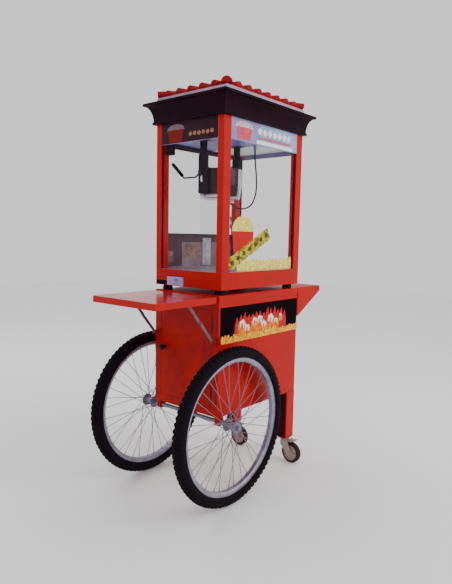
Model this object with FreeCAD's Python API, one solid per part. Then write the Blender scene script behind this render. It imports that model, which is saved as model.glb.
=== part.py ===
import FreeCAD, Part
import math
import os

V = FreeCAD.Vector

# A popcorn cart: a glazed popping cabin with a tiled roof, standing on a sheet-steel cart with
# two large spoked wheels, two braked casters, a folding shelf and a fixed shelf.
# Frame: millimetres, +Z up, X along the cart from the folding shelf to the casters, the
# customer's side faces -Y. The origin is on the floor, under the middle of the whole cart.

# ---- driving dimensions ----
SHEET = 2.0                    # steel sheet of the cart
BODY_LENGTH = 576.0            # cart body along X
BODY_WIDTH = 380.0             # cart body along Y
DROP_SHELF_LENGTH = 341.0
END_SHELF_LENGTH = 205.0
SHELF_WIDTH = 370.0
FLOOR_Z = 355.0                # underside of the cart body
TOP_Z = 862.0                  # top of the cart
RIM_DEPTH = 26.0               # folded edge of the top and of both shelves
FRAME_WIDTH = 36.0             # door frame stiles and rails

WHEEL_RADIUS = 330.0           # 26 inch bicycle wheel with its tyre
TYRE_RADIUS = 26.0
RIM_RADIUS = 285.0
RIM_INNER = 266.0
RIM_HALF_WIDTH = 14.0
WHEEL_Y = 249.0                # middle plane of each large wheel
AXLE_X = -193.0
AXLE_RADIUS = 9.0
SPINDLE_RADIUS = 6.0
SPOKES = 36
RUN_FIT = 0.05                 # radial clearance of a running fit

CASTER_RADIUS = 50.0
CASTER_TRAIL = 40.0
LEG_X = 66.0                   # caster leg section
LEG_Y = 52.0
LEG_FOOT_Z = 122.0

CABIN_LENGTH = 561.0           # popping cabin along X
CABIN_WIDTH = 389.0            # popping cabin along Y
CABIN_X0 = -215.0
CABIN_Z = 884.0                # underside of the cabin's base
DECK_Z = 955.0                 # top of the base, where the glass starts
HEADER_Z = 1489.0              # underside of the sign panels
CORNICE_Z = 1577.0
CORNICE_TOP = 1664.0
CORNICE_OUT = 44.0             # overhang of the cornice's lip
CORNICE_FOOT = 14.0            # overhang of the cornice's foot
POST_X = 46.0
POST_Y = 32.0
GLASS = 4.0
CEILING_Z = 1510.0
CURB_HEIGHT = 27.0             # plain band under the tiles
TILE_PITCH = 66.0
TILE_RADIUS = 18.0
ROOF_RISE = 22.0               # from the eaves to the ridge

KETTLE_X = -10.0
KETTLE_RADIUS = 97.0
KETTLE_FOOT_Z = 1265.0
KETTLE_RIM_Z = 1392.0
PIVOT_Z = 1375.0
HANGER_X = 112.0               # each hanger's middle from the kettle's middle
TRUNNION_RADIUS = 8.0
CORD_RADIUS = 3.5

# ---- places worked out from them ----
SPAN = DROP_SHELF_LENGTH + BODY_LENGTH + END_SHELF_LENGTH
BODY_X0 = -SPAN / 2 + DROP_SHELF_LENGTH
BODY_X1 = BODY_X0 + BODY_LENGTH
BODY_Y = BODY_WIDTH / 2
SHELF_Y = SHELF_WIDTH / 2
PANEL_Y = BODY_Y - SHEET       # outer face of the side panels
CABIN_X1 = CABIN_X0 + CABIN_LENGTH
CABIN_Y = CABIN_WIDTH / 2
CABIN_MID = CABIN_X0 + CABIN_LENGTH / 2
POST_IN_X0 = CABIN_X0 + POST_X
POST_IN_X1 = CABIN_X1 - POST_X
POST_IN_Y = CABIN_Y - POST_Y
LEG_MID_X = BODY_X1 - LEG_X / 2
LEG_MID_Y = BODY_Y - LEG_Y / 2

os.makedirs("parts", exist_ok=True)
X, Y, Z = V(1, 0, 0), V(0, 1, 0), V(0, 0, 1)


# ---- small helpers ----
def box(x0, x1, y0, y1, z0, z1):
    return Part.makeBox(x1 - x0, y1 - y0, z1 - z0, V(x0, y0, z0))


def rod(radius, start, end):
    """A round bar from one point to another."""
    start, end = V(*start), V(*end)
    return Part.makeCylinder(radius, start.distanceToPoint(end), start, end - start)


def cone(r0, r1, start, end):
    start, end = V(*start), V(*end)
    return Part.makeCone(r0, r1, start.distanceToPoint(end), start, end - start)


def ball(radius, centre):
    return Part.makeSphere(radius, V(*centre))


def turned(outline, centre=(0, 0, 0), axis=Z, radial=X):
    """A solid of revolution; each point of the outline is (radius, height along the axis)."""
    points = [V(*centre) + radial * r + axis * h for r, h in outline]
    face = Part.Face(Part.makePolygon(points + points[:1]))
    return face.revolve(V(*centre), axis, 360)


def plate(points, thickness):
    """A flat plate: a polygon of points, pushed along the thickness vector."""
    corners = [V(*p) for p in points]
    return Part.Face(Part.makePolygon(corners + corners[:1])).extrude(V(*thickness))


def joined(*shapes):
    first, rest = shapes[0], list(shapes[1:])
    return first.fuse(rest).removeSplitter() if rest else first


def mirror_y(shape):
    return shape.mirror(V(0, 0, 0), Y)


def both_sides(shape):
    """The piece and its mirror image across the middle plane of the cart."""
    return Part.makeCompound([shape, mirror_y(shape)])


def rounded(shape, radius, keep):
    """Round the edges for which keep(edge) is true."""
    return shape.makeFillet(radius, [e for e in shape.Edges if keep(e)])


def upright(edge):
    a, b = edge.Vertexes[0].Point, edge.Vertexes[-1].Point
    return abs(a.x - b.x) + abs(a.y - b.y) < 1e-6 and abs(a.z - b.z) > 1e-6


def hollow_pan(x0, x1, y0, y1, z_top, depth, wall=SHEET, corner=4.0):
    """A sheet folded down on all four sides."""
    outer = rounded(box(x0, x1, y0, y1, z_top - depth, z_top), corner, upright)
    return outer.cut(box(x0 + wall, x1 - wall, y0 + wall, y1 - wall, z_top - depth - 1, z_top - wall))


def save(name, shape):
    solids = shape.Solids
    volume = shape.Volume / 1000
    print(f"{name:20s} solids {len(solids):3d}  volume {volume:10.1f} cm3  valid {shape.isValid()}")
    if len(solids) == 1:
        shape = solids[0]
    else:
        shape = Part.makeCompound(solids)
    shape.exportStep(f"parts/{name}.step")


# ---- cart body ----
def cart_floor():
    inner_x0, inner_x1, inner_y = BODY_X0 + SHEET, BODY_X1 - 2 * SHEET, PANEL_Y - SHEET
    pan = box(inner_x0, inner_x1, -inner_y, inner_y, FLOOR_Z, FLOOR_Z + 22)
    pan = pan.cut(box(inner_x0 + SHEET, inner_x1 - SHEET, -inner_y + SHEET, inner_y - SHEET,
                      FLOOR_Z + SHEET, FLOOR_Z + 23))
    leg_inner_y = PANEL_Y - SHEET - LEG_Y - 0.3
    for y0, y1 in ((-BODY_Y, -leg_inner_y), (leg_inner_y, BODY_Y)):
        pan = pan.cut(box(BODY_X1 - LEG_X - 0.3, BODY_X1, y0, y1, FLOOR_Z - 1, FLOOR_Z + 23))
    return pan


def side_panel():
    """The customer's side: a flat sheet under the folded edge of the top."""
    return box(BODY_X0 + SHEET, BODY_X1 - SHEET, -PANEL_Y, -PANEL_Y + SHEET, FLOOR_Z, TOP_Z - SHEET)


def end_panel():
    y = PANEL_Y - SHEET
    return box(BODY_X1 - 2 * SHEET, BODY_X1 - SHEET, -y, y, FLOOR_Z, TOP_Z - SHEET)


DOOR_Y = PANEL_Y - FRAME_WIDTH
DOOR_Z0 = FLOOR_Z + FRAME_WIDTH
DOOR_Z1 = TOP_Z - RIM_DEPTH - FRAME_WIDTH
DOOR_GAP = 1.5
RETURN = 14.0


def door_frame():
    """Stiles and rails round the cabinet opening, folded inward at the opening."""
    face = box(BODY_X0, BODY_X0 + SHEET, -PANEL_Y, PANEL_Y, FLOOR_Z, TOP_Z - RIM_DEPTH)
    lip = box(BODY_X0, BODY_X0 + RETURN, -DOOR_Y - SHEET, DOOR_Y + SHEET, DOOR_Z0 - SHEET, DOOR_Z1 + SHEET)
    opening = box(BODY_X0 - 1, BODY_X0 + RETURN + 1, -DOOR_Y, DOOR_Y, DOOR_Z0, DOOR_Z1)
    return joined(face, lip).cut(opening).removeSplitter()


def cart_top():
    top = hollow_pan(BODY_X0, BODY_X1, -BODY_Y, BODY_Y, TOP_Z, RIM_DEPTH, corner=3.0)
    return top


def caster_leg():
    """A square sheet leg with a foot plate, from inside the body down to the caster."""
    x0, x1 = BODY_X1 - LEG_X, BODY_X1 - 2 * SHEET
    y0, y1 = -PANEL_Y + SHEET, -PANEL_Y + SHEET + LEG_Y
    upper = box(x0, x1, y0, y1, FLOOR_Z, FLOOR_Z + 90)
    lower = rounded(box(x0, BODY_X1, -BODY_Y, -BODY_Y + LEG_Y, LEG_FOOT_Z, FLOOR_Z), 4.0, upright)
    shell = joined(upper, lower)
    shell = shell.cut(box(x0 + 3, x1 - 3, y0 + 3, y1 - 3 - SHEET, LEG_FOOT_Z + 4, FLOOR_Z + 91))
    for hole_x in (-22, 22):
        for hole_y in (-16, 16):
            x, y = LEG_MID_X + hole_x, -LEG_MID_Y + hole_y
            shell = shell.cut(rod(3.2, (x, y, LEG_FOOT_Z - 1), (x, y, LEG_FOOT_Z + 5)))
    return shell


def end_shelf():
    """The fixed shelf beyond the casters, welded to two gusset plates."""
    x0, x1 = BODY_X1, BODY_X1 + END_SHELF_LENGTH
    pan = hollow_pan(x0, x1, -BODY_Y, BODY_Y, TOP_Z, RIM_DEPTH, corner=3.0)
    gusset_z = TOP_Z - 138
    gussets = []
    for y in (-BODY_Y, BODY_Y - SHEET):
        outline = [(x0, y, TOP_Z - RIM_DEPTH), (x1 - 3, y, TOP_Z - RIM_DEPTH),
                   (x0 + 6, y, gusset_z), (x0, y, gusset_z)]
        gussets.append(plate(outline, (0, SHEET, 0)))
    back = box(x0, x0 + SHEET, -BODY_Y, BODY_Y, gusset_z, TOP_Z - RIM_DEPTH)
    return joined(pan, *gussets, back)


# ---- hinges: one pattern of butt hinge everywhere, 60 mm long with three knuckles ----
HINGE_LENGTH = 60.0
KNUCKLE = HINGE_LENGTH / 3
BARREL = 3.5
PIN = 1.5
LEAF = 1.2
LEAF_REACH = 26.0
SEAT = 3.6                     # from the pin's axis to the face that a leaf lies on
SIDE_GAP = 0.2                 # between knuckles


def placement(origin, x_axis, y_axis, z_axis):
    """The rigid move that takes the unit axes to the given ones."""
    return FreeCAD.Matrix(x_axis[0], y_axis[0], z_axis[0], origin[0],
                          x_axis[1], y_axis[1], z_axis[1], origin[1],
                          x_axis[2], y_axis[2], z_axis[2], origin[2], 0, 0, 0, 1)


def fixed_half(place):
    """Two knuckles, their leaf towards -y and the pin; the axis is z and the seat is at x = SEAT."""
    half = HINGE_LENGTH / 2
    parts = [box(SEAT - LEAF, SEAT, -LEAF_REACH, -1.2, -half, half)]
    for low, high in ((-half, -KNUCKLE / 2 - SIDE_GAP), (KNUCKLE / 2 + SIDE_GAP, half)):
        parts.append(rod(BARREL, (0, 0, low), (0, 0, high)))
        parts.append(box(0, SEAT, -3.4, -1.9, low, high))
    middle = rod(BARREL + 0.4, (0, 0, -KNUCKLE / 2 - SIDE_GAP), (0, 0, KNUCKLE / 2 + SIDE_GAP))
    pin = rod(PIN, (0, 0, -half), (0, 0, half))
    return joined(joined(*parts).cut(middle), pin).transformed(place, True)


def moving_half(place, low=SEAT - LEAF, high=SEAT):
    """The middle knuckle and its leaf towards +y, whose faces are at x = low and x = high."""
    half, third = HINGE_LENGTH / 2, KNUCKLE / 2 - SIDE_GAP
    leaf = box(low, high, 4.4, LEAF_REACH, -half, half)
    neck = box(low, high, 0, 4.4, -third, third)
    foot = box(min(0, low), high, 0.5, 2.0, -third, third)
    knuckle = rod(BARREL, (0, 0, -third), (0, 0, third))
    bore = rod(PIN + RUN_FIT, (0, 0, -half - 1), (0, 0, half + 1))
    return joined(leaf, neck, foot, knuckle).cut(bore).transformed(place, True)


HINGE_AXIS_X = BODY_X0 - SEAT
CABINET_HINGE_Y = -DOOR_Y + DOOR_GAP / 2
CABINET_HINGES_Z = (DOOR_Z0 + 60, DOOR_Z1 - 60)
KNOB_Y = 128.0
KNOB_Z = 610.0
SHELF_TOP = TOP_Z - 4.0
SHELF_AXIS_Z = SHELF_TOP - RIM_DEPTH - 1.0
SHELF_HINGES_Y = (-120.0, 120.0)
SILL_TOP = 1112.0
REAR_AXIS_Y = CABIN_Y + SEAT
REAR_DOOR_Z0 = SILL_TOP + 2
REAR_DOOR_Z1 = HEADER_Z - 2
REAR_HINGES_Z = (REAR_DOOR_Z0 + 60, REAR_DOOR_Z1 - 60)


def cabinet_place(z):
    return placement((HINGE_AXIS_X, CABINET_HINGE_Y, z), (1, 0, 0), (0, 1, 0), (0, 0, 1))


def shelf_place(y):
    return placement((HINGE_AXIS_X, y, SHELF_AXIS_Z), (1, 0, 0), (0, 0, 1), (0, -1, 0))


def rear_place(z, left):
    side = 1 if left else -1
    post_x = POST_IN_X0 if left else POST_IN_X1
    return placement((post_x, REAR_AXIS_Y, z), (0, -1, 0), (side, 0, 0), (0, 0, side))


def butt_hinges():
    """The fixed halves: two on the cabinet, two under the folding shelf, two at each rear door."""
    places = [cabinet_place(z) for z in CABINET_HINGES_Z] + [shelf_place(y) for y in SHELF_HINGES_Y]
    places += [rear_place(z, left) for z in REAR_HINGES_Z for left in (True, False)]
    return Part.makeCompound([fixed_half(place) for place in places])


def cabinet_door():
    """A sheet door folded in at its edges, with its two hinge leaves."""
    y0, y1 = -DOOR_Y + DOOR_GAP, DOOR_Y - DOOR_GAP
    z0, z1 = DOOR_Z0 + DOOR_GAP, DOOR_Z1 - DOOR_GAP
    door = box(BODY_X0, BODY_X0 + 16, y0, y1, z0, z1)
    door = door.cut(box(BODY_X0 + SHEET, BODY_X0 + 17, y0 + SHEET, y1 - SHEET, z0 + SHEET, z1 - SHEET))
    door = door.cut(rod(3.0, (BODY_X0 - 1, KNOB_Y, KNOB_Z), (BODY_X0 + 3, KNOB_Y, KNOB_Z)))
    return joined(door, *[moving_half(cabinet_place(z)) for z in CABINET_HINGES_Z])


def door_knob():
    """A turned knob on a threaded stem that passes through the door."""
    outline = [(0, 0), (9, 0), (9, 3), (6.5, 6), (6.5, 10), (11, 14), (14, 18), (14, 21), (11, 24), (0, 25)]
    knob = turned(outline, (BODY_X0, KNOB_Y, KNOB_Z), V(-1, 0, 0), Y)
    stem = rod(2.9, (BODY_X0 + 9, KNOB_Y, KNOB_Z), (BODY_X0, KNOB_Y, KNOB_Z))
    nut = rod(6.5, (BODY_X0 + SHEET, KNOB_Y, KNOB_Z), (BODY_X0 + SHEET + 4, KNOB_Y, KNOB_Z))
    return joined(knob, stem, nut)


# ---- folding shelf and its two folding stays ----
SHELF_X0 = BODY_X0 - DROP_SHELF_LENGTH
SHELF_X1 = HINGE_AXIS_X - 4.6
STAY_Y = -172.0                # middle of the near stay; the far one is its mirror image
STAY_THICK = 3.0
STAY_WIDTH = 12.0
STAY_PIN = 3.0
STAY_OFFSET = 13.5             # pivots from the shelf hinge, square to the radius
STAY_ARM = 160.0               # pivots from the shelf hinge, along the radius
LOW_PIVOT = V(HINGE_AXIS_X - STAY_OFFSET, 0, SHELF_AXIS_Z - STAY_ARM)
HIGH_PIVOT = V(HINGE_AXIS_X - STAY_ARM, 0, SHELF_AXIS_Z + STAY_OFFSET)
ELBOW = (LOW_PIVOT + HIGH_PIVOT) * 0.5
LOWER_LINK_Y = STAY_Y - STAY_THICK - 0.4
UPPER_LINK_Y = STAY_Y - 0.1


def drop_shelf():
    """A folded pan on two hinge leaves, with the cleats of both stays welded under it."""
    pan = hollow_pan(SHELF_X0, SHELF_X1, -SHELF_Y, SHELF_Y, SHELF_TOP, RIM_DEPTH)
    bottom = SHELF_TOP - RIM_DEPTH
    inner_y = SHELF_Y - SHEET
    parts = [pan, box(SHELF_X1 - 26, SHELF_X1 - SHEET, -inner_y, inner_y, bottom, bottom + SHEET)]
    for y in SHELF_HINGES_Y:
        place = placement((HINGE_AXIS_X, y, SHELF_AXIS_Z), (0, 0, 1), (-1, 0, 0), (0, -1, 0))
        parts.append(moving_half(place, low=1.0 - LEAF, high=1.0))
    y0 = UPPER_LINK_Y + STAY_THICK + 0.3
    x, z = HIGH_PIVOT.x, HIGH_PIVOT.z
    cleat = joined(box(x - 11, x + 11, y0, y0 + 3, z - 8, SHELF_TOP - SHEET),
                   rod(STAY_PIN, (x, UPPER_LINK_Y, z), (x, y0, z)))
    return joined(*parts, cleat, mirror_y(cleat))


def stay_brackets():
    """A foot on the cabinet's face, with the pin that the lower link turns on."""
    y0 = LOWER_LINK_Y - STAY_THICK
    x, z = LOW_PIVOT.x, LOW_PIVOT.z
    foot = box(BODY_X0 - SHEET, BODY_X0, y0 - 3, y0 + 20, z - 16, z + 16)
    ear = box(x - 7, BODY_X0, y0 - 3, y0, z - 9, z + 9)
    pin = rod(STAY_PIN, (x, y0, z), (x, LOWER_LINK_Y + STAY_THICK, z))
    return both_sides(joined(foot, ear, pin))


def link(start, end, y0):
    """A flat bar with round ends, bored at its pivot."""
    along = end - start
    along.normalize()
    across = V(-along.z, 0, along.x) * (STAY_WIDTH / 2)
    corners = [start + across, end + across, end - across, start - across]
    bar = plate([(p.x, y0, p.z) for p in corners], (0, STAY_THICK, 0))
    ends = [rod(STAY_WIDTH / 2, (p.x, y0, p.z), (p.x, y0 + STAY_THICK, p.z)) for p in (start, end)]
    bore = rod(STAY_PIN + RUN_FIT, (start.x, y0 - 1, start.z), (start.x, y0 + STAY_THICK + 1, start.z))
    return joined(bar, *ends).cut(bore)


def rivet(y0, y1):
    return rod(5.0, (ELBOW.x, y0, ELBOW.z), (ELBOW.x, y1, ELBOW.z))


def lower_stays():
    bar = link(LOW_PIVOT, ELBOW, LOWER_LINK_Y)
    return both_sides(joined(bar, rivet(LOWER_LINK_Y - 1.6, LOWER_LINK_Y)))


def upper_stays():
    face = UPPER_LINK_Y + STAY_THICK
    return both_sides(joined(link(HIGH_PIVOT, ELBOW, UPPER_LINK_Y), rivet(face, face + 1.6)))


# ---- axle and large wheels ----
CLAMP_Y = 176.0
HUB_HALF = 32.0
SPINDLE_END = 290.0
SHOULDER = WHEEL_Y - HUB_HALF - 1.0
FLANGE_Y = 26.0                # each hub flange from the wheel's middle plane
FLANGE_RADIUS = 27.0
SPOKE_CIRCLE = 22.5
SPOKE_RADIUS = 1.3
SPOKE_STEP = 360 / (SPOKES // 2)


def on_axle(radius, y0, y1):
    return rod(radius, (AXLE_X, y0, WHEEL_RADIUS), (AXLE_X, y1, WHEEL_RADIUS))


def axle():
    """A round bar turned down at both ends to carry the hubs."""
    bar = on_axle(AXLE_RADIUS, -SHOULDER, SHOULDER)
    return joined(bar, on_axle(SPINDLE_RADIUS, 2 - SPINDLE_END, SPINDLE_END - 2))


def axle_clamps():
    """A saddle under the cart's floor at each side."""
    y0, y1, bottom = -CLAMP_Y - 10, -CLAMP_Y + 10, WHEEL_RADIUS - 15
    block = box(AXLE_X - 17, AXLE_X + 17, y0, y1, bottom, FLOOR_Z - 3)

    def lower_long(edge):
        return abs(edge.CenterOfMass.z - bottom) < 1e-6 and abs(edge.CenterOfMass.y + CLAMP_Y) < 1e-6

    block = rounded(block, 6.0, lower_long)
    flange = box(AXLE_X - 24, AXLE_X + 36, y0, y1, FLOOR_Z - 3, FLOOR_Z)
    return both_sides(joined(block, flange).cut(on_axle(AXLE_RADIUS, y0 - 1, y1 + 1)))


def hexagon(across, start, end_y):
    """A hexagonal bar along Y, for nuts."""
    r = across / math.sqrt(3)
    x, y, z = start
    turns = [math.radians(60 * k) for k in range(6)]
    return plate([(x + r * math.cos(a), y, z + r * math.sin(a)) for a in turns], (0, end_y - y, 0))


def axle_nuts():
    start = WHEEL_Y + HUB_HALF + 0.5
    nut = hexagon(19, (AXLE_X, start + 2, WHEEL_RADIUS), SPINDLE_END)
    piece = joined(on_axle(12.0, start, start + 2), nut)
    return both_sides(piece.cut(on_axle(SPINDLE_RADIUS, start - 1, SPINDLE_END - 2)))


def at_wheel(shape, side):
    return shape.translated(V(AXLE_X, side * WHEEL_Y, WHEEL_RADIUS))


def tyre():
    """A hollow casing that grips the rim, with a raised tread band."""
    middle = WHEEL_RADIUS - TYRE_RADIUS - 3.0
    casing = Part.makeTorus(middle, TYRE_RADIUS, V(0, 0, 0), Y)
    air = Part.makeTorus(middle, TYRE_RADIUS - 4.0, V(0, 0, 0), Y)
    well = rod(RIM_RADIUS, (0, -RIM_HALF_WIDTH, 0), (0, RIM_HALF_WIDTH, 0))
    edge = middle + TYRE_RADIUS - 3
    tread = turned([(edge, -9), (WHEEL_RADIUS, -8), (WHEEL_RADIUS, 8), (edge, 9)], axis=Y)
    return joined(casing.cut(air).cut(well), tread)


def rim():
    """A single-wall rim whose two upstands hold the tyre's beads."""
    h, r0, r1 = RIM_HALF_WIDTH, RIM_INNER, RIM_RADIUS
    half = [(r0, h - 5), (r0 + 7, h), (r1, h), (r1, h - 2), (r0 + 9, h - 2), (r0 + 3, h - 6.5)]
    return turned([(r, -y) for r, y in half] + [(r, y) for r, y in reversed(half)], axis=Y)


def hub():
    """A barrel with two spoke flanges, bored to run on the spindle."""
    bore, y = SPINDLE_RADIUS + RUN_FIT, FLANGE_Y
    half = [(15, y - 8), (17, y - 3), (FLANGE_RADIUS, y - 1.5), (FLANGE_RADIUS, y + 1.5), (14, y + 2),
            (13, HUB_HALF), (bore, HUB_HALF)]
    shell = turned([(r, -h) for r, h in reversed(half)] + half, axis=Y)
    for side in (-1, 1):
        for k in range(SPOKES // 2):
            a = math.radians(SPOKE_STEP * k + 10 + side * 5)
            x, z = SPOKE_CIRCLE * math.cos(a), SPOKE_CIRCLE * math.sin(a)
            shell = shell.cut(rod(SPOKE_RADIUS + 0.2, (x, side * y - 3, z), (x, side * y + 3, z)))
    return shell


def spokes():
    """Crossed three times; each has a head, a bend through its flange and a nipple at the rim."""
    pieces = []
    for side in (-1, 1):
        for k in range(SPOKES // 2):
            turn, out = (1, 3.2) if k % 2 else (-1, -3.9)
            a = math.radians(SPOKE_STEP * k + 10 + side * 5)
            b = a + math.radians(turn * 3 * SPOKE_STEP)
            x, z = SPOKE_CIRCLE * math.cos(a), SPOKE_CIRCLE * math.sin(a)
            bend = V(x, side * (FLANGE_Y + out), z)
            back = V(x, side * (FLANGE_Y - out * 0.8), z)
            rim_end = V((RIM_INNER - 0.3) * math.cos(b), side * 4.0, (RIM_INNER - 0.3) * math.sin(b))
            nipple = rim_end + (bend - rim_end) * (12.0 / bend.distanceToPoint(rim_end))
            head = back + V(0, 0.9 if back.y > bend.y else -0.9, 0)
            piece = joined(rod(SPOKE_RADIUS, bend, rim_end), rod(SPOKE_RADIUS, bend, back),
                           ball(SPOKE_RADIUS, bend), rod(2.1, back, head), rod(2.0, nipple, rim_end))
            pieces.append(piece)
    return Part.makeCompound(pieces)


# ---- casters: built with the swivel axis at the origin, the wheel trailing towards -Y ----
CROWN_Z = 105.0                # underside of the fork's crown
CASTER_BORE = 5.0
PEDAL_Y = -27.5
PEDAL_Z = CROWN_Z + 3.5
PEDAL_PIN = 2.5


def at_caster(shape, side):
    return shape.translated(V(LEG_MID_X, side * LEG_MID_Y, 0))


def caster_plate():
    """Mounting plate with its four bolts, the ball race and the kingpin."""
    base = rounded(box(-30, 30, -24, 24, LEG_FOOT_Z - 3, LEG_FOOT_Z), 4.0, upright)
    race = [(0, LEG_FOOT_Z - 9), (19, LEG_FOOT_Z - 9), (21, LEG_FOOT_Z - 3), (0, LEG_FOOT_Z - 3)]
    parts = [base, turned(race), rod(6.0, (0, 0, CROWN_Z - 5), (0, 0, LEG_FOOT_Z - 9)),
             rod(9.0, (0, 0, CROWN_Z - 8), (0, 0, CROWN_Z - 5))]
    for x in (-22, 22):
        for y in (-16, 16):
            parts.append(rod(3.0, (x, y, LEG_FOOT_Z - 3), (x, y, LEG_FOOT_Z + 9)))
            parts.append(rod(5.5, (x, y, LEG_FOOT_Z - 6), (x, y, LEG_FOOT_Z - 3)))
    return joined(*parts)


def caster_fork():
    """A pressed crown and two cheeks, with the wheel's bolt and two ears for the brake pedal."""
    parts = [rod(22.0, (0, 0, CROWN_Z), (0, 0, LEG_FOOT_Z - 9.4)),
             box(-22, 22, -30, 12, CROWN_Z - 3, CROWN_Z)]
    for x in (-22, 19):
        outline = [(x, 12, CROWN_Z), (x, -30, CROWN_Z), (x, -CASTER_TRAIL - 11, CASTER_RADIUS),
                   (x, -CASTER_TRAIL - 6, CASTER_RADIUS - 10), (x, -CASTER_TRAIL + 8, CASTER_RADIUS - 9),
                   (x, 12, CROWN_Z - 19)]
        parts.append(plate(outline, (3, 0, 0)))
        parts.append(box(x, x + 3, PEDAL_Y - 4.5, PEDAL_Y + 5, CROWN_Z - 3, PEDAL_Z + 4))
    body = joined(*parts)
    body = body.cut(rod(6 + RUN_FIT, (0, 0, CROWN_Z - 6), (0, 0, LEG_FOOT_Z)))
    body = body.cut(rod(PEDAL_PIN + RUN_FIT, (-23, PEDAL_Y, PEDAL_Z), (23, PEDAL_Y, PEDAL_Z)))
    y, z = -CASTER_TRAIL, CASTER_RADIUS
    return joined(body, rod(CASTER_BORE, (-25, y, z), (25, y, z)), rod(8, (-25.5, y, z), (-22, y, z)),
                  rod(8, (22, y, z), (25.5, y, z)))


def caster_wheel():
    """A soft tread on a hub, bored to run on the bolt."""
    r, w = CASTER_RADIUS, 13.5
    half = [(r, w - 5), (r - 4, w), (r - 13, w), (r - 16, 9), (14, 9), (14, w), (12, 14), (9, 18),
            (CASTER_BORE + RUN_FIT, 18)]
    outline = [(a, -h) for a, h in reversed(half)] + half
    return turned(outline, (0, -CASTER_TRAIL, CASTER_RADIUS), X, Y)


def caster_pedal():
    """The brake pedal: a tread plate, a shoe over the wheel and the pin it tips on."""
    y, z = PEDAL_Y, PEDAL_Z
    outline = [(-18.4, y - 1, z - 2.5), (-18.4, y - 36, z + 4), (-18.4, y - 38, z + 7.5),
               (-18.4, y - 35, z + 7), (-18.4, y, z + 2.4)]
    shoe = box(-14, 14, y - 16, y - 9, z - 5.2, z)
    return joined(plate(outline, (36.8, 0, 0)), shoe, rod(PEDAL_PIN, (-22.5, y, z), (22.5, y, z)))


# ---- popping cabin ----
WALL = 2.0
DRAWER_Y0 = 20.0
DRAWER_Y1 = 120.0
DRAWER_DEPTH = 190.0
DRAWER_Z0 = CABIN_Z + WALL + 0.3
DRAWER_Z1 = 924.0
GLASS_IN = 6.0                 # how far each pane enters its posts
SIDE_GLASS_IN = 9.0            # side panes from the cabin's end faces
FRONT_GLASS_IN = 10.5
HEADER_IN = 1.5                # sign panels from the posts' outer faces
SWITCHES_X = (CABIN_MID - 60, CABIN_MID + 60)
SWITCH_Z = 1533.0


def four_corners(shape):
    """The piece and its three reflections about the cabin's middle planes."""
    other = shape.mirror(V(CABIN_MID, 0, 0), X)
    return Part.makeCompound([shape, other, mirror_y(shape), mirror_y(other)])


def machine_base():
    """A sheet tray, open at the top, with the drawer's sleeve and the mains inlet."""
    x0, x1, y1 = CABIN_X0, CABIN_X1, CABIN_Y
    outer = rounded(box(x0, x1, -y1, y1, CABIN_Z, DECK_Z - WALL), 3.0, upright)
    tray = outer.cut(box(x0 + WALL, x1 - WALL, -y1 + WALL, y1 - WALL, CABIN_Z + WALL, DECK_Z))
    opening = box(x0 - 1, x0 + WALL + 1, DRAWER_Y0 - 5, DRAWER_Y1 + 1, CABIN_Z + WALL, DRAWER_Z1 + 3)
    guides = [box(x0 + WALL, x0 + WALL + DRAWER_DEPTH, y, y + 1.2, CABIN_Z + WALL, DRAWER_Z1 + 6)
              for y in (DRAWER_Y0 - 1.6, DRAWER_Y1 + 0.4)]
    inlet_x, inlet_z = x1 - 90, 918.0
    inlet = box(inlet_x - 18, inlet_x + 18, y1 - 30, y1 - WALL, inlet_z - 15, inlet_z + 15)
    recess = box(inlet_x - 13.5, inlet_x + 13.5, y1 - 26, y1 + 1, inlet_z - 10, inlet_z + 10)
    pins = [box(inlet_x + x - 1, inlet_x + x + 1, y1 - 26, y1 - 6, inlet_z + z - 3, inlet_z + z + 3)
            for x, z in ((-7, -3), (0, 3), (7, -3))]
    return joined(joined(tray.cut(opening), *guides, inlet).cut(recess), *pins)


def popcorn_deck():
    """The floor of the popping space; unpopped kernels fall through its slots into the drawer."""
    deck = box(CABIN_X0, CABIN_X1, -CABIN_Y, CABIN_Y, DECK_Z - WALL, DECK_Z)
    for k in range(8):
        x = CABIN_X0 + 62 + 14 * k
        deck = deck.cut(box(x, x + 6, DRAWER_Y0 + 12, DRAWER_Y1 - 12, DECK_Z - WALL - 1, DECK_Z + 1))
    return deck


def rubber_feet():
    outline = [(0, TOP_Z), (22, TOP_Z), (22, TOP_Z + 12), (18, CABIN_Z), (0, CABIN_Z)]
    return four_corners(turned(outline, (CABIN_X0 + 38, -CABIN_Y + 38, 0)))


def corner_posts():
    """Hollow posts, slit where the panes enter them."""
    x0, x1, y0, y1 = CABIN_X0, POST_IN_X0, -CABIN_Y, -POST_IN_Y
    post = rounded(box(x0, x1, y0, y1, DECK_Z, CORNICE_Z), 2.5, upright)
    post = post.cut(box(x0 + WALL, x1 - WALL, y0 + WALL, y1 - WALL, DECK_Z - 1, CORNICE_Z + 1))
    top = HEADER_Z + 9
    front_y = y0 + FRONT_GLASS_IN
    front = box(x1 - WALL - 1, x1 + 1, front_y - 0.3, front_y + GLASS + 0.3, DECK_Z - 1, top)
    side_x = x0 + SIDE_GLASS_IN
    side = box(side_x - 0.3, side_x + GLASS + 0.3, y1 - WALL - 1, y1 + 1, DECK_Z - 1, top)
    near = post.cut(front).cut(side)
    far = mirror_y(post.cut(side))
    pair = Part.makeCompound([near, far])
    return Part.makeCompound([pair, pair.mirror(V(CABIN_MID, 0, 0), X)])


def front_glass():
    y0 = -CABIN_Y + FRONT_GLASS_IN
    return box(POST_IN_X0 - GLASS_IN, POST_IN_X1 + GLASS_IN, y0, y0 + GLASS, DECK_Z, HEADER_Z + 8)


def side_glass():
    x0, y1 = CABIN_X0 + SIDE_GLASS_IN, POST_IN_Y + GLASS_IN
    pane = box(x0, x0 + GLASS, -y1, y1, DECK_Z, HEADER_Z + 8)
    return Part.makeCompound([pane, pane.mirror(V(CABIN_MID, 0, 0), X)])


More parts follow.
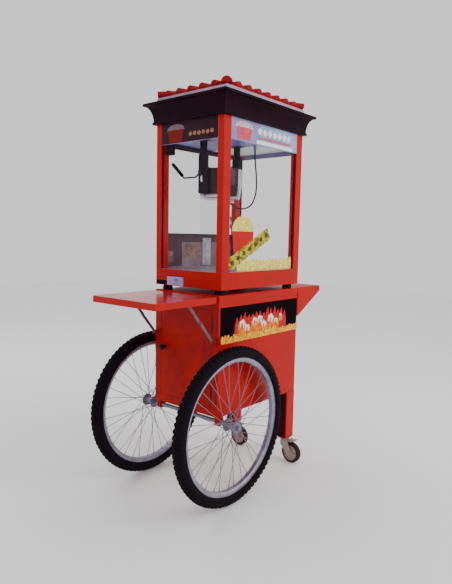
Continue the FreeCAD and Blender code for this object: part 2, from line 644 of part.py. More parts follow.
def sign_along_x(x0, x1, y, inward):
    """A sheet panel whose lower edge is folded inward, towards the glass."""
    sheet = box(x0, x1, min(y, y + inward * WALL), max(y, y + inward * WALL), HEADER_Z, CORNICE_Z)
    lip = box(x0, x1, min(y, y + inward * 8), max(y, y + inward * 8), HEADER_Z, HEADER_Z + 1.5)
    return joined(sheet, lip)


def header_signs():
    """The lit sign panels at the front and at both ends."""
    front = sign_along_x(POST_IN_X0, POST_IN_X1, -CABIN_Y + HEADER_IN, 1)
    x = CABIN_X0 + HEADER_IN
    end = box(x, x + WALL, -POST_IN_Y, POST_IN_Y, HEADER_Z, CORNICE_Z)
    end = joined(end, box(x, x + 7, -POST_IN_Y, POST_IN_Y, HEADER_Z, HEADER_Z + 1.5))
    return Part.makeCompound([front, end, end.mirror(V(CABIN_MID, 0, 0), X)])


def switch_panel():
    """The operator's panel: a folded sheet with two switch housings."""
    y = CABIN_Y - HEADER_IN
    panel = sign_along_x(POST_IN_X0, POST_IN_X1, y, -1)
    for x in SWITCHES_X:
        housing = box(x - 13, x + 13, y - 16, y + 1.5, SWITCH_Z - 17, SWITCH_Z + 17)
        panel = joined(panel, housing)
        panel = panel.cut(box(x - 10.5, x + 10.5, y - 14, y + 3, SWITCH_Z - 14.5, SWITCH_Z + 14.5))
        panel = panel.cut(rod(1.5 + RUN_FIT, (x - 12, y - 4, SWITCH_Z), (x + 12, y - 4, SWITCH_Z)))
    return panel


def rocker(x):
    """A rocker whose two faces meet in a shallow valley, on a pin through its housing."""
    y = CABIN_Y - HEADER_IN - 4
    z = SWITCH_Z
    outline = [(x - 10, y - 6, z - 5), (x - 10, y - 6, z + 5), (x - 10, y + 6, z + 13),
               (x - 10, y + 7.5, z + 13), (x - 10, y + 6, z), (x - 10, y + 7.5, z - 13),
               (x - 10, y + 6, z - 13)]
    return joined(plate(outline, (20, 0, 0)), rod(1.5, (x - 11.8, y, z), (x + 11.8, y, z)))


def ceiling_plate():
    """The plate that the kettle hangs from, with the cord's gland and the lamp's hole."""
    x0, x1, y1 = CABIN_X0 + 8.5, CABIN_X1 - 8.5, CABIN_Y - 12.0
    sheet = box(x0, x1, -y1, y1 - 6, CEILING_Z, CEILING_Z + 2)
    for sx in (x0 - 1, POST_IN_X1 - 0.5):
        for sy in (-y1 - 1, POST_IN_Y - 0.5):
            sheet = sheet.cut(box(sx, sx + POST_X - 6, sy, sy + POST_Y - 10, CEILING_Z - 1, CEILING_Z + 3))
    x, y = CORD[0][0], CORD[0][1]
    gland = cone(8.0, 6.0, (x, y, CEILING_Z), (x, y, CEILING_Z - 22))
    hole = rod(CORD_RADIUS + RUN_FIT, (x, y, CEILING_Z - 30), (x, y, CEILING_Z + 3))
    return joined(sheet, gland).cut(hole)


def rectangle(grow_x, grow_y, z):
    half_x, half_y = CABIN_LENGTH / 2 + grow_x, CABIN_Y + grow_y
    signs = ((-1, -1), (1, -1), (1, 1), (-1, 1))
    points = [V(CABIN_MID + sx * half_x, sy * half_y, z) for sx, sy in signs]
    return Part.makePolygon(points + points[:1])


def frustum(grow0, z0, grow1, z1):
    """A block between two rectangles, each larger than the cabin's plan by the given margins."""
    return Part.makeLoft([rectangle(*grow0, z0), rectangle(*grow1, z1)], True, True)


def cornice():
    """A hollow moulding: a foot bead, a concave cove and a thin lip, closed by a top plate."""
    foot_top, lip_z = CORNICE_Z + 10, CORNICE_TOP - 10
    steps = 7
    foot, out = (CORNICE_FOOT, CORNICE_FOOT), (CORNICE_OUT, CORNICE_OUT)
    parts = [frustum(foot, CORNICE_Z, foot, foot_top), frustum(out, lip_z, out, CORNICE_TOP)]
    foot_room, out_room = (CORNICE_FOOT - WALL,) * 2, (CORNICE_OUT - WALL,) * 2
    rooms = [frustum((-WALL, -WALL), CORNICE_Z - 1, (-WALL, -WALL), CORNICE_TOP - WALL),
             frustum(foot_room, CORNICE_Z + WALL, foot_room, foot_top - WALL),
             frustum(out_room, lip_z + WALL, out_room, CORNICE_TOP - WALL)]
    width, height = CORNICE_OUT - CORNICE_FOOT + 1, lip_z - foot_top
    cove, inner = [], []
    for k in range(steps + 1):
        a = math.pi / 2 * k / steps
        g, z = CORNICE_FOOT - 4 + width * (1 - math.cos(a)), foot_top + height * math.sin(a)
        run, rise = width * math.sin(a), height * math.cos(a)
        slope = math.hypot(run, rise)
        cove.append((g, z))
        inner.append((g - WALL * rise / slope, z + WALL * run / slope))
    inner[0] = (inner[0][0], foot_top - WALL - 1)
    for (g0, z0), (g1, z1) in zip(cove, cove[1:]):
        parts.append(frustum((g0, g0), z0, (g1, g1), z1))
    for (g0, z0), (g1, z1) in zip(inner, inner[1:]):
        rooms.append(frustum((g0, g0), z0, (g1, g1), z1))
    return joined(*parts).cut(joined(*rooms))


ROOF_X = 272.0
ROOF_Y = 196.0
CURB_Z = CORNICE_TOP + CURB_HEIGHT
EAVES_Z = CURB_Z + 7


def roof_grow(margin):
    return (ROOF_X + margin - CABIN_LENGTH / 2, ROOF_Y + margin - CABIN_Y)


def roof_curb():
    """The plain band that the tiled roof stands on."""
    ring = frustum(roof_grow(3), CORNICE_TOP, roof_grow(3), CURB_Z)
    return ring.cut(frustum(roof_grow(-3), CORNICE_TOP - 1, roof_grow(-3), CURB_Z + 1))


def hipped(margin, z0, z1, ridge_z):
    """A hipped block: upright sides from z0 to z1, then four slopes to a ridge along X."""
    ridge = ROOF_X - ROOF_Y
    lower = frustum(roof_grow(margin), z0, roof_grow(margin), z1)
    a, b = ROOF_X + margin, ROOF_Y + margin
    corners = [V(CABIN_MID + x, y, z1) for x, y in ((-a, -b), (a, -b), (a, b), (-a, b))]
    west, east = V(CABIN_MID - ridge, 0, ridge_z), V(CABIN_MID + ridge, 0, ridge_z)
    rings = [corners, [corners[0], corners[1], east, west], [corners[2], corners[3], west, east],
             [corners[1], corners[2], east], [corners[3], corners[0], west]]
    faces = [Part.Face(Part.makePolygon(ring + ring[:1])) for ring in rings]
    return lower.fuse(Part.makeSolid(Part.makeShell(faces))).removeSplitter()


def roof_tiles():
    """A pressed sheet: half-round tiles down all four slopes, with caps along the hips and the ridge."""
    rise, ridge = ROOF_RISE, ROOF_X - ROOF_Y
    skin = 2.5
    room = hipped(-3, CURB_Z - 1, EAVES_Z - 3, EAVES_Z + rise - 4)
    shell = hipped(0, CURB_Z, EAVES_Z, EAVES_Z + rise).cut(room)
    rods, rooms = [], []
    columns = int((ROOF_X - 20) // TILE_PITCH)
    for k in range(-columns, columns + 1):
        x = k * TILE_PITCH
        top = max(0.0, abs(x) - ridge)
        for side in (-1, 1):
            low = (CABIN_MID + x, side * (ROOF_Y + 3), EAVES_Z)
            high = (CABIN_MID + x, side * top, EAVES_Z + rise * (1 - top / ROOF_Y))
            rods.append(rod(TILE_RADIUS, low, high))
            rooms.append(rod(TILE_RADIUS - skin, low, high))
    rows = int((ROOF_Y - 20) // TILE_PITCH)
    for k in range(-rows, rows + 1):
        y = k * TILE_PITCH
        for side in (-1, 1):
            low = (CABIN_MID + side * (ROOF_X + 3), y, EAVES_Z)
            high = (CABIN_MID + side * (ridge + abs(y)), y, EAVES_Z + rise * (1 - abs(y) / ROOF_Y))
            rods.append(rod(TILE_RADIUS, low, high))
            rooms.append(rod(TILE_RADIUS - skin, low, high))
    hip = TILE_RADIUS + 5
    for sx in (-1, 1):
        peak = (CABIN_MID + sx * ridge, 0, EAVES_Z + rise)
        rods.append(ball(hip, peak))
        rooms.append(ball(hip - skin, peak))
        for sy in (-1, 1):
            corner = (CABIN_MID + sx * (ROOF_X + 1), sy * (ROOF_Y + 1), EAVES_Z)
            rods.append(rod(hip, corner, peak))
            rooms.append(rod(hip - skin, corner, peak))
    ends = [(CABIN_MID + sx * ridge, 0, EAVES_Z + rise) for sx in (-1, 1)]
    rods.append(rod(hip, *ends))
    rooms.append(rod(hip - skin, *ends))
    above = box(CABIN_MID - 400, CABIN_MID + 400, -300, 300, EAVES_Z - 0.01, EAVES_Z + 200)
    caps = [r.common(above).cut(room) for r in rods]
    within = frustum(roof_grow(-3), CURB_Z, roof_grow(-3), EAVES_Z + 200)
    return joined(shell, *caps).cut(joined(*rooms).common(within))


def cabin_lamp():
    """A socket and a bulb under the ceiling."""
    x, y = CABIN_MID + 64, 102.0
    socket = rod(20.0, (x, y, CEILING_Z), (x, y, CEILING_Z - 26))
    neck = cone(14.0, 20.0, (x, y, CEILING_Z - 26), (x, y, CEILING_Z - 40))
    bulb = ball(26.0, (x, y, CEILING_Z - 58))
    return joined(socket, neck, bulb)


def kernel_drawer():
    x0, x1 = CABIN_X0 - 1.5, CABIN_X0 + DRAWER_DEPTH - 4
    tray = box(x0, x1, DRAWER_Y0, DRAWER_Y1, DRAWER_Z0, DRAWER_Z1)
    y0, y1 = DRAWER_Y0 + 1.2, DRAWER_Y1 - 1.2
    tray = tray.cut(box(x0 + 1.5, x1 - 1.2, y0, y1, DRAWER_Z0 + 1.2, DRAWER_Z1 + 1))
    grip = box(x0 - 9, x0, 60, 80, DRAWER_Z1 - 12, DRAWER_Z1 - 10)
    return joined(tray, grip, box(x0 - 9, x0 - 7.5, 60, 80, DRAWER_Z1 - 18, DRAWER_Z1 - 10))


def rear_door(left):
    """A clear door with two hinge leaves and a small pull."""
    x0, x1 = POST_IN_X0 + 0.6, CABIN_MID - 1.0
    if not left:
        x0, x1 = CABIN_MID + 1.0, POST_IN_X1 - 0.6
    y1 = CABIN_Y
    pull_x = x1 - 22 if left else x0 + 22
    pane = box(x0, x1, y1 - 5, y1, REAR_DOOR_Z0, REAR_DOOR_Z1)
    pull = joined(rod(5, (pull_x, y1, 1290), (pull_x, y1 + 9, 1290)),
                  rod(9, (pull_x, y1 + 9, 1290), (pull_x, y1 + 16, 1290)))
    return joined(pane, pull, *[moving_half(rear_place(z, left)) for z in REAR_HINGES_Z])


def rear_sill():
    """The stainless panel under the rear doors, folded inward along its top."""
    y = CABIN_Y - 4.5
    sheet = box(POST_IN_X0, POST_IN_X1, y - 1.5, y, DECK_Z, SILL_TOP)
    return joined(sheet, box(POST_IN_X0, POST_IN_X1, y - 22, y, SILL_TOP - 1.5, SILL_TOP))


# ---- kettle group: it tilts about a line along X ----
POT_WALL = 2.0
BAR_HALF = 13.0                # crossbar, half its width
BAR_TOP = KETTLE_RIM_Z + 5
LID_AXIS_Y = 18.0
LID_AXIS_Z = KETTLE_RIM_Z + 4.0
SHAFT = 3.0
GEAR_GAP = 0.35
CORD = [(113, -95, 1512), (113, -95, 1460), (117, -100, 1400), (124, -102, 1342), (122, -98, 1288),
        (106, -88, 1243), (82, -66, 1226), (54, -38, 1230), (34, -15.8, 1254.4)]


def along_x(radius, x0, x1, y=0.0, z=PIVOT_Z):
    return rod(radius, (x0, y, z), (x1, y, z))


def kettle_hangers():
    """Two sheet boxes from the ceiling, each bored for its trunnion."""
    pieces = []
    for side in (-1, 1):
        x = KETTLE_X + side * HANGER_X
        outline = [(-19, 1285), (19, 1285), (19, 1445), (11, 1458), (11, CEILING_Z), (-11, CEILING_Z),
                   (-11, 1458), (-19, 1445)]
        shell = plate([(x - 11, y, z) for y, z in outline], (22, 0, 0))
        core = [(-17.5, 1284), (17.5, 1284), (17.5, 1444.4), (9.5, 1457.4), (9.5, CEILING_Z - 2),
                (-9.5, CEILING_Z - 2), (-9.5, 1457.4), (-17.5, 1444.4)]
        shell = shell.cut(plate([(x - 9.5, y, z) for y, z in core], (19, 0, 0)))
        shell = joined(shell, box(x - 20, x + 20, -24, 24, CEILING_Z - 2, CEILING_Z))
        pieces.append(shell.cut(along_x(TRUNNION_RADIUS + RUN_FIT, x - 12, x + 12)))
    return Part.makeCompound(pieces)


def kettle_pot():
    """A spun pot with two trunnions; the one on the motor's side is a tube for the drive shaft."""
    r0, r1, z0, z1 = KETTLE_RADIUS - 9, KETTLE_RADIUS, KETTLE_FOOT_Z, KETTLE_RIM_Z
    outline = [(0, z0), (r0 - 4, z0), (r0, z0 + 5), (r1 - 1, z0 + 60), (r1 - 1, z1 - 4), (r1 + 1, z1 - 4),
               (r1 + 1, z1), (r1 - 3, z1), (r1 - 3, z0 + 60), (r0 - POT_WALL, z0 + 7), (r0 - 6, z0 + 3),
               (0, z0 + 3)]
    pot = turned(outline, (KETTLE_X, 0, 0))
    left, right = KETTLE_X - HANGER_X, KETTLE_X + HANGER_X
    parts = [along_x(TRUNNION_RADIUS, left - 22, KETTLE_X - r1 + 2),
             along_x(TRUNNION_RADIUS, KETTLE_X + r1 - 2, right - 9.6),
             along_x(15, left + 11.5, KETTLE_X - r1 + 2), along_x(15, KETTLE_X + r1 - 2, right - 11.5)]
    terminal = box(22, 50, -32, -4, z0 - 14, z0)
    entry = V(*CORD[-1]) + (V(*CORD[-1]) - V(*CORD[-2])) * 0.06
    pot = joined(pot, *parts, terminal).cut(rod(CORD_RADIUS + RUN_FIT, CORD[-2], tuple(entry)))
    pot = pot.cut(along_x(SHAFT + RUN_FIT, KETTLE_X + r1 - 8, right))
    return pot


def kettle_crossbar():
    """An inverted channel across the rim that covers the shaft and carries the stirrer's bearing."""
    reach = KETTLE_RADIUS - 4
    x0, x1 = KETTLE_X - reach, KETTLE_X + reach
    bottom = PIVOT_Z - 30
    channel = box(x0, x1, -BAR_HALF, BAR_HALF, KETTLE_RIM_Z - 8, BAR_TOP)
    inner = BAR_HALF - 1.5
    channel = channel.cut(box(x0 - 1, x1 + 1, -inner, inner, KETTLE_RIM_Z - 9, BAR_TOP - 1.5))
    strap = box(KETTLE_X - 18, KETTLE_X + 24, -BAR_HALF, BAR_HALF, bottom, BAR_TOP)
    strap = strap.cut(box(KETTLE_X - 19, KETTLE_X + 25, -inner, inner, bottom + 4, BAR_TOP - 1.5))
    parts = [channel, strap]
    for side in (-1, 1):
        for x in (-52, -38, 38, 52):
            y0, y1 = sorted((side * BAR_HALF, side * (LID_AXIS_Y + 2.5)))
            parts.append(box(KETTLE_X + x - 1, KETTLE_X + x + 1, y0, y1, LID_AXIS_Z - 2.2, LID_AXIS_Z + 2.5))
        for x in (-45, 45):
            parts.append(along_x(1.2, KETTLE_X + x - 7.5, KETTLE_X + x + 7.5, side * LID_AXIS_Y, LID_AXIS_Z))
    bar = joined(*parts)
    return bar.cut(rod(4 + RUN_FIT, (KETTLE_X, 0, bottom - 1), (KETTLE_X, 0, bottom + 5)))


def kettle_lid(side):
    """Half of the lid, on two knuckles along the crossbar."""
    r, y_in, z = KETTLE_RADIUS - 1, LID_AXIS_Y, LID_AXIS_Z
    disc = rod(r, (KETTLE_X, 0, KETTLE_RIM_Z + 0.4), (KETTLE_X, 0, KETTLE_RIM_Z + 1.9))
    half = disc.common(box(KETTLE_X - 110, KETTLE_X + 110, y_in, 110, 1300, 1450))
    for x in (-45, 45):
        half = half.cut(box(KETTLE_X + x - 9, KETTLE_X + x + 9, y_in - 1, y_in + 3.4, 1300, 1450))
        x0, x1 = KETTLE_X + x - 5.5, KETTLE_X + x + 5.5
        half = joined(half, along_x(2.2, x0, x1, y_in, z),
                      box(x0, x1, y_in + 0.5, y_in + 5, KETTLE_RIM_Z + 0.4, z - 1))
        half = half.cut(along_x(1.2 + RUN_FIT, KETTLE_X + x - 8, KETTLE_X + x + 8, y_in, z))
    tab = box(KETTLE_X - 9, KETTLE_X + 9, r - 6, r + 5, KETTLE_RIM_Z + 0.4, KETTLE_RIM_Z + 1.9)
    half = joined(half, tab)
    return half if side > 0 else mirror_y(half)


def dump_handle():
    """A boss pressed on the trunnion, a bent rod and a grip."""
    x = KETTLE_X - HANGER_X - 17.5
    start, knee = (x, 0, PIVOT_Z), (x, 28, PIVOT_Z - 22)
    bend, end = (x, 98, PIVOT_Z - 22), (x, 168, PIVOT_Z + 40)
    boss = rod(12, (x - 4.4, 0, PIVOT_Z), (x + 4, 0, PIVOT_Z))
    arm = joined(rod(3.5, start, knee), ball(3.5, knee), rod(3.5, knee, bend), ball(3.5, bend),
                 rod(3.5, bend, end))
    grip_start = V(*bend) + (V(*end) - V(*bend)) * 0.18
    grip = joined(rod(8, tuple(grip_start), end), ball(8, end))
    bore = along_x(TRUNNION_RADIUS + 0.02, KETTLE_X - HANGER_X - 22, KETTLE_X - HANGER_X)
    return joined(boss, arm, grip).cut(bore)


def drive_shaft():
    """From the gear motor to the pot's middle, ending in a bevel blank."""
    x0, x1 = KETTLE_X + 4 + GEAR_GAP, KETTLE_X + HANGER_X - 6
    gear = cone(4.0, 10.0, (x0, 0, PIVOT_Z), (x0 + 6, 0, PIVOT_Z))
    back = along_x(10.0, x0 + 6, x0 + 8)
    return joined(along_x(SHAFT, x0, x1), gear, back)


def agitator():
    """The stirrer: a bevel blank, an upright shaft and a blade near the pot's floor."""
    z1 = PIVOT_Z - 4 - GEAR_GAP
    floor_z = KETTLE_FOOT_Z + 3
    shaft = rod(4.0, (KETTLE_X, 0, floor_z + 0.5), (KETTLE_X, 0, z1 - 6))
    gear = cone(10.0, 4.0, (KETTLE_X, 0, z1 - 6), (KETTLE_X, 0, z1))
    hub_ = rod(8.0, (KETTLE_X, 0, floor_z + 0.5), (KETTLE_X, 0, floor_z + 14))
    back = rod(10.0, (KETTLE_X, 0, z1 - 8), (KETTLE_X, 0, z1 - 6))
    blade = box(KETTLE_X - 76, KETTLE_X + 76, -6, 6, floor_z + 1, floor_z + 4)
    return joined(shaft, gear, back, hub_, blade)


def stir_motor():
    """A flat gear motor inside the right-hand hanger."""
    x = KETTLE_X + HANGER_X
    case = box(x - 8, x + 9.5, -16, 16, PIVOT_Z - 18, PIVOT_Z + 22)
    body = rod(14, (x + 0.5, 0, PIVOT_Z + 22), (x + 0.5, 0, PIVOT_Z + 60))
    body = body.common(box(x - 9, x + 9.5, -20, 20, PIVOT_Z, PIVOT_Z + 70))
    return joined(case, body).cut(along_x(SHAFT + RUN_FIT, x - 9, x - 5))


def cord_tube(points, radius):
    """Straight runs joined by tangent arcs."""
    pts = [V(*p) for p in points]
    edges, last = [], pts[0]
    radii = []
    for a, b, c in zip(pts, pts[1:], pts[2:]):
        u, w = (b - a), (c - b)
        lu, lw = u.Length, w.Length
        u.normalize()
        w.normalize()
        half = u.getAngle(w) / 2
        cut = 0.45 * min(lu, lw)
        radii.append(round(cut / math.tan(half), 1))
        p, q = b - u * cut, b + w * cut
        bisector = (w - u)
        bisector.normalize()
        centre = b + bisector * (radii[-1] and (cut / math.tan(half)) / math.cos(half))
        away = b - centre
        away.normalize()
        middle = centre + away * (cut / math.tan(half))
        edges.append(Part.makeLine(last, p))
        edges.append(Part.Arc(p, middle, q).toShape())
        last = q
    edges.append(Part.makeLine(last, pts[-1]))
    path = Part.Wire(edges)
    section = Part.Wire([Part.makeCircle(radius, pts[0], pts[1] - pts[0])])
    solid = path.makePipeShell([section], True, False)
    ratio = solid.Volume / (math.pi * radius ** 2 * path.Length)
    print(f"cord length {path.Length:.1f} mm, radii {radii}, volume over section times length {ratio:.4f}")
    return solid


for name, shape in (
        ("cart_floor", cart_floor()),
        ("side_panels", both_sides(side_panel())),
        ("end_panel", end_panel()),
        ("door_frame", door_frame()),
        ("cart_top", cart_top()),
        ("caster_legs", both_sides(caster_leg())),
        ("end_shelf", end_shelf()),
        ("cabinet_door", cabinet_door()),
        ("door_knob", door_knob()),
        ("butt_hinges", butt_hinges()),
        ("drop_shelf", drop_shelf()),
        ("stay_brackets", stay_brackets()),
        ("lower_stays", lower_stays()),
        ("upper_stays", upper_stays()),
        ("axle", Part.makeCompound([axle(), *axle_nuts().Solids])),
        ("axle_clamps", axle_clamps()),
        ("caster_plates", Part.makeCompound([at_caster(caster_plate(), side) for side in (-1, 1)])),
        ("machine_base", machine_base()),
        ("popcorn_deck", popcorn_deck()),
        ("rubber_feet", rubber_feet()),
        ("corner_posts", corner_posts()),
        ("front_glass", front_glass()),
        ("side_glass", side_glass()),
        ("header_signs", header_signs()),
        ("switch_panel", switch_panel()),
        ("kettle_switch", rocker(SWITCHES_X[0])),
        ("light_switch", rocker(SWITCHES_X[1])),
        ("ceiling_plate", ceiling_plate()),
        ("cornice", cornice()),
        ("roof_curb", roof_curb()),
        ("roof_tiles", roof_tiles()),
        ("cabin_lamp", cabin_lamp()),
        ("kernel_drawer", kernel_drawer()),
        ("left_rear_door", rear_door(True)),
        ("right_rear_door", rear_door(False)),
        ("rear_sill", rear_sill()),
        ("kettle_hangers", kettle_hangers()),
        ("kettle_pot", kettle_pot()),
        ("kettle_crossbar", kettle_crossbar()),
        ("front_lid", kettle_lid(-1)),
        ("rear_lid", kettle_lid(1)),
        ("dump_handle", dump_handle()),
        ("drive_shaft", drive_shaft()),
        ("agitator", agitator()),
        ("stir_motor", stir_motor()),
        ("kettle_cord", cord_tube(CORD, CORD_RADIUS))):
    save(name, shape)

for name, maker in (("tyre", tyre), ("rim", rim), ("spokes", spokes), ("hub", hub)):
    piece = maker()
    save(f"front_{name}", at_wheel(piece, -1))
    save(f"rear_{name}", at_wheel(piece, 1))

for name, maker in (("fork", caster_fork), ("caster_wheel", caster_wheel), ("brake_pedal", caster_pedal)):
    piece = maker()
    save(f"front_{name}", at_caster(piece, -1))
    save(f"rear_{name}", at_caster(piece, 1))
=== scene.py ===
import bpy
import bmesh
import math
import random
from mathutils import Matrix, Vector


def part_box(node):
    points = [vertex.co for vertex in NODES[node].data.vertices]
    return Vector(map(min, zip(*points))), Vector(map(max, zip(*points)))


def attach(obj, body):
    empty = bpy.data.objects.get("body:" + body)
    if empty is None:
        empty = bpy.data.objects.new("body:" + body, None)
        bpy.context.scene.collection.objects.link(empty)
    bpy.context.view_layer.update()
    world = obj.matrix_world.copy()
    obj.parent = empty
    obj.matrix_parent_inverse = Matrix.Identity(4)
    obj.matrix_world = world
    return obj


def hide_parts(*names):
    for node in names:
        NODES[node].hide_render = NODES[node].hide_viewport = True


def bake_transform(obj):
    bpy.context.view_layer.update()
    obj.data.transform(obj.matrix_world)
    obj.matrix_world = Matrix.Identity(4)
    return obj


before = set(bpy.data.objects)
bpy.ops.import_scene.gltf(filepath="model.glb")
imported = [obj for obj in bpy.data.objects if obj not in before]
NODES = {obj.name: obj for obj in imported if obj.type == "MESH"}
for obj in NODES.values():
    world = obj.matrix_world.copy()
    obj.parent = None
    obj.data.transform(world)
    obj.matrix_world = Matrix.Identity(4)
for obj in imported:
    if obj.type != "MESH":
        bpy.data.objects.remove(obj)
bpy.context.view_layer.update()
random.seed(11)


# ---------------------------------------------------------------- camera
CAMERA_AT = (-1.8273, -1.5962, 1.1040)
CAMERA_TOWARDS = (0.7565, 0.6456, -0.1044)
CAMERA_ROLL = math.radians(1.12)
FOCAL_LENGTH = 42.53


def aim_camera():
    """The one camera, level but for a slight roll."""
    data = bpy.data.cameras.new("photo_view")
    data.sensor_fit = "HORIZONTAL"
    data.sensor_width = 36.0
    data.lens = FOCAL_LENGTH
    data.clip_end = 50.0
    camera = bpy.data.objects.new("photo_view", data)
    bpy.context.scene.collection.objects.link(camera)
    forward = Vector(CAMERA_TOWARDS).normalized()
    level = forward.cross(Vector((0, 0, 1))).normalized()
    upright = level.cross(forward)
    right = level * math.cos(CAMERA_ROLL) + upright * math.sin(CAMERA_ROLL)
    up = right.cross(forward)
    turn = Matrix((right, up, -forward)).transposed().to_4x4()
    camera.matrix_world = Matrix.Translation(CAMERA_AT) @ turn
    bpy.context.scene.camera = camera


aim_camera()


# ---------------------------------------------------------------- mesh helpers
UPRIGHT = (Vector((1, 0, 0)), Vector((0, 1, 0)), Vector((0, 0, 1)))


def new_object(name, mesh):
    obj = bpy.data.objects.new(name, mesh)
    bpy.context.scene.collection.objects.link(obj)
    return obj


def from_bmesh(name, bm, smooth=False):
    mesh = bpy.data.meshes.new(name)
    bmesh.ops.recalc_face_normals(bm, faces=bm.faces)
    bm.to_mesh(mesh)
    bm.free()
    if smooth:
        for polygon in mesh.polygons:
            polygon.use_smooth = True
    return new_object(name, mesh)


def centre(node):
    low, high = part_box(node)
    return (Vector(low) + Vector(high)) / 2


def add_block(bm, middle, axes, sizes, taper=1.0):
    """A block with its top (along the third axis) drawn in by taper."""
    a, b, c = axes
    corners = []
    for k, shrink in ((-0.5, 1.0), (0.5, taper)):
        for i, j in ((-0.5, -0.5), (0.5, -0.5), (0.5, 0.5), (-0.5, 0.5)):
            sideways = a * (i * sizes[0] * shrink) + b * (j * sizes[1] * shrink)
            corners.append(bm.verts.new(middle + sideways + c * (k * sizes[2])))
    for face in ((0, 3, 2, 1), (4, 5, 6, 7), (0, 1, 5, 4), (1, 2, 6, 5), (2, 3, 7, 6),
                 (3, 0, 4, 7)):
        bm.faces.new([corners[i] for i in face])


def add_dome(bm, at, normal, radius, height, sides=10):
    """A low round head standing on a face."""
    normal = Vector(normal)
    side = normal.orthogonal().normalized()
    other = normal.cross(side)
    rings = []
    for r, h in ((1.0, 0.0), (0.92, 0.45), (0.6, 0.85)):
        ring = []
        for k in range(sides):
            a = 2 * math.pi * k / sides
            out = side * math.cos(a) + other * math.sin(a)
            ring.append(bm.verts.new(Vector(at) + out * radius * r + normal * height * h))
        rings.append(ring)
    top = bm.verts.new(Vector(at) + normal * height)
    for low, high in zip(rings, rings[1:]):
        for k in range(sides):
            bm.faces.new((low[k], low[(k + 1) % sides], high[(k + 1) % sides], high[k]))
    for k in range(sides):
        bm.faces.new((rings[-1][k], rings[-1][(k + 1) % sides], top))
    bm.faces.new(list(reversed(rings[0])))


def tube_mesh(name, points, radius, sides=14):
    """A round tube along a list of points, with closed ends."""
    bm = bmesh.new()
    rings = []
    side = (points[1] - points[0]).orthogonal().normalized()
    for k, point in enumerate(points):
        along = (points[min(k + 1, len(points) - 1)] - points[max(k - 1, 0)]).normalized()
        side = (side - along * side.dot(along)).normalized()
        other = along.cross(side)
        ring = []
        for j in range(sides):
            a = 2 * math.pi * j / sides
            ring.append(bm.verts.new(point + (side * math.cos(a) + other * math.sin(a)) * radius))
        rings.append(ring)
    for low, high in zip(rings, rings[1:]):
        for j in range(sides):
            bm.faces.new((low[j], low[(j + 1) % sides], high[(j + 1) % sides], high[j]))
    bm.faces.new(list(reversed(rings[0])))
    bm.faces.new(rings[-1])
    return from_bmesh(name, bm, smooth=True)


# ---------------------------------------------------------------- the kettle's cord
CORD_ROUTE = [(0.113, -0.095, 1.512), (0.113, -0.095, 1.460), (0.117, -0.100, 1.400),
              (0.124, -0.102, 1.342), (0.122, -0.098, 1.288), (0.106, -0.088, 1.243),
              (0.082, -0.066, 1.226), (0.054, -0.038, 1.230), (0.034, -0.0158, 1.2544)]
CORD_RADIUS = 0.0035


def kettle_cord():
    """The lead from the gland in the ceiling to the terminal under the pot, hanging in one loop."""
    route = bpy.data.curves.new("cord_route", "CURVE")
    route.dimensions = "3D"
    spline = route.splines.new("NURBS")
    spline.points.add(len(CORD_ROUTE) - 1)
    for point, at in zip(spline.points, CORD_ROUTE):
        point.co = (*at, 1.0)
    spline.order_u = 3
    spline.use_endpoint_u = True
    spline.resolution_u = 16
    line = new_object("cord_route", route)
    bpy.context.view_layer.update()
    mesh = bpy.data.meshes.new_from_object(line)
    points = [v.co.copy() for v in mesh.vertices]
    bpy.data.objects.remove(line)
    bpy.data.meshes.remove(mesh)
    cord = tube_mesh("kettle_lead", points, CORD_RADIUS)
    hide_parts("kettle_cord")
    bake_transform(cord)
    return cord


# ---------------------------------------------------------------- materials
BUMP_DEPTH = 0.0004


def node_tree(name):
    material = bpy.data.materials.new(name)
    material.use_nodes = True
    nodes, links = material.node_tree.nodes, material.node_tree.links
    bsdf = next(n for n in nodes if n.type == "BSDF_PRINCIPLED")
    return material, nodes, links, bsdf


def coordinates(nodes, links, stretch=(1, 1, 1)):
    where = nodes.new("ShaderNodeTexCoord")
    mapping = nodes.new("ShaderNodeMapping")
    mapping.inputs["Scale"].default_value = stretch
    links.new(where.outputs["Object"], mapping.inputs["Vector"])
    return mapping.outputs["Vector"]


def noise(nodes, links, vector, scale, detail=4.0, roughness=0.55):
    texture = nodes.new("ShaderNodeTexNoise")
    texture.inputs["Scale"].default_value = scale
    texture.inputs["Detail"].default_value = detail
    texture.inputs["Roughness"].default_value = roughness
    links.new(vector, texture.inputs["Vector"])
    return texture.outputs["Fac"]


def spread(nodes, links, value, low, high, at_low, at_high):
    node = nodes.new("ShaderNodeMapRange")
    node.inputs["From Min"].default_value = low
    node.inputs["From Max"].default_value = high
    node.inputs["To Min"].default_value = at_low
    node.inputs["To Max"].default_value = at_high
    links.new(value, node.inputs["Value"])
    return node.outputs["Result"]


def blend_colours(nodes, links, factor, a, b, mode="MIX"):
    mix = nodes.new("ShaderNodeMix")
    mix.data_type = "RGBA"
    mix.blend_type = mode
    for socket, value in ((mix.inputs["A"], a), (mix.inputs["B"], b)):
        if isinstance(value, (tuple, list)):
            socket.default_value = (*value[:3], 1.0)
        else:
            links.new(value, socket)
    if isinstance(factor, float):
        mix.inputs["Factor"].default_value = factor
    else:
        links.new(factor, mix.inputs["Factor"])
    return mix.outputs["Result"]


def split_axes(nodes, links, vector):
    split = nodes.new("ShaderNodeSeparateXYZ")
    links.new(vector, split.inputs["Vector"])
    return split.outputs


def maths(nodes, links, operation, a, b):
    node = nodes.new("ShaderNodeMath")
    node.operation = operation
    links.new(a, node.inputs[0])
    links.new(b, node.inputs[1])
    return node.outputs["Value"]


def vector_maths(nodes, links, operation, vector, constant=None):
    node = nodes.new("ShaderNodeVectorMath")
    node.operation = operation
    links.new(vector, node.inputs[0])
    if constant:
        node.inputs[1].default_value = constant
    return node.outputs["Value" if operation == "LENGTH" else "Vector"]


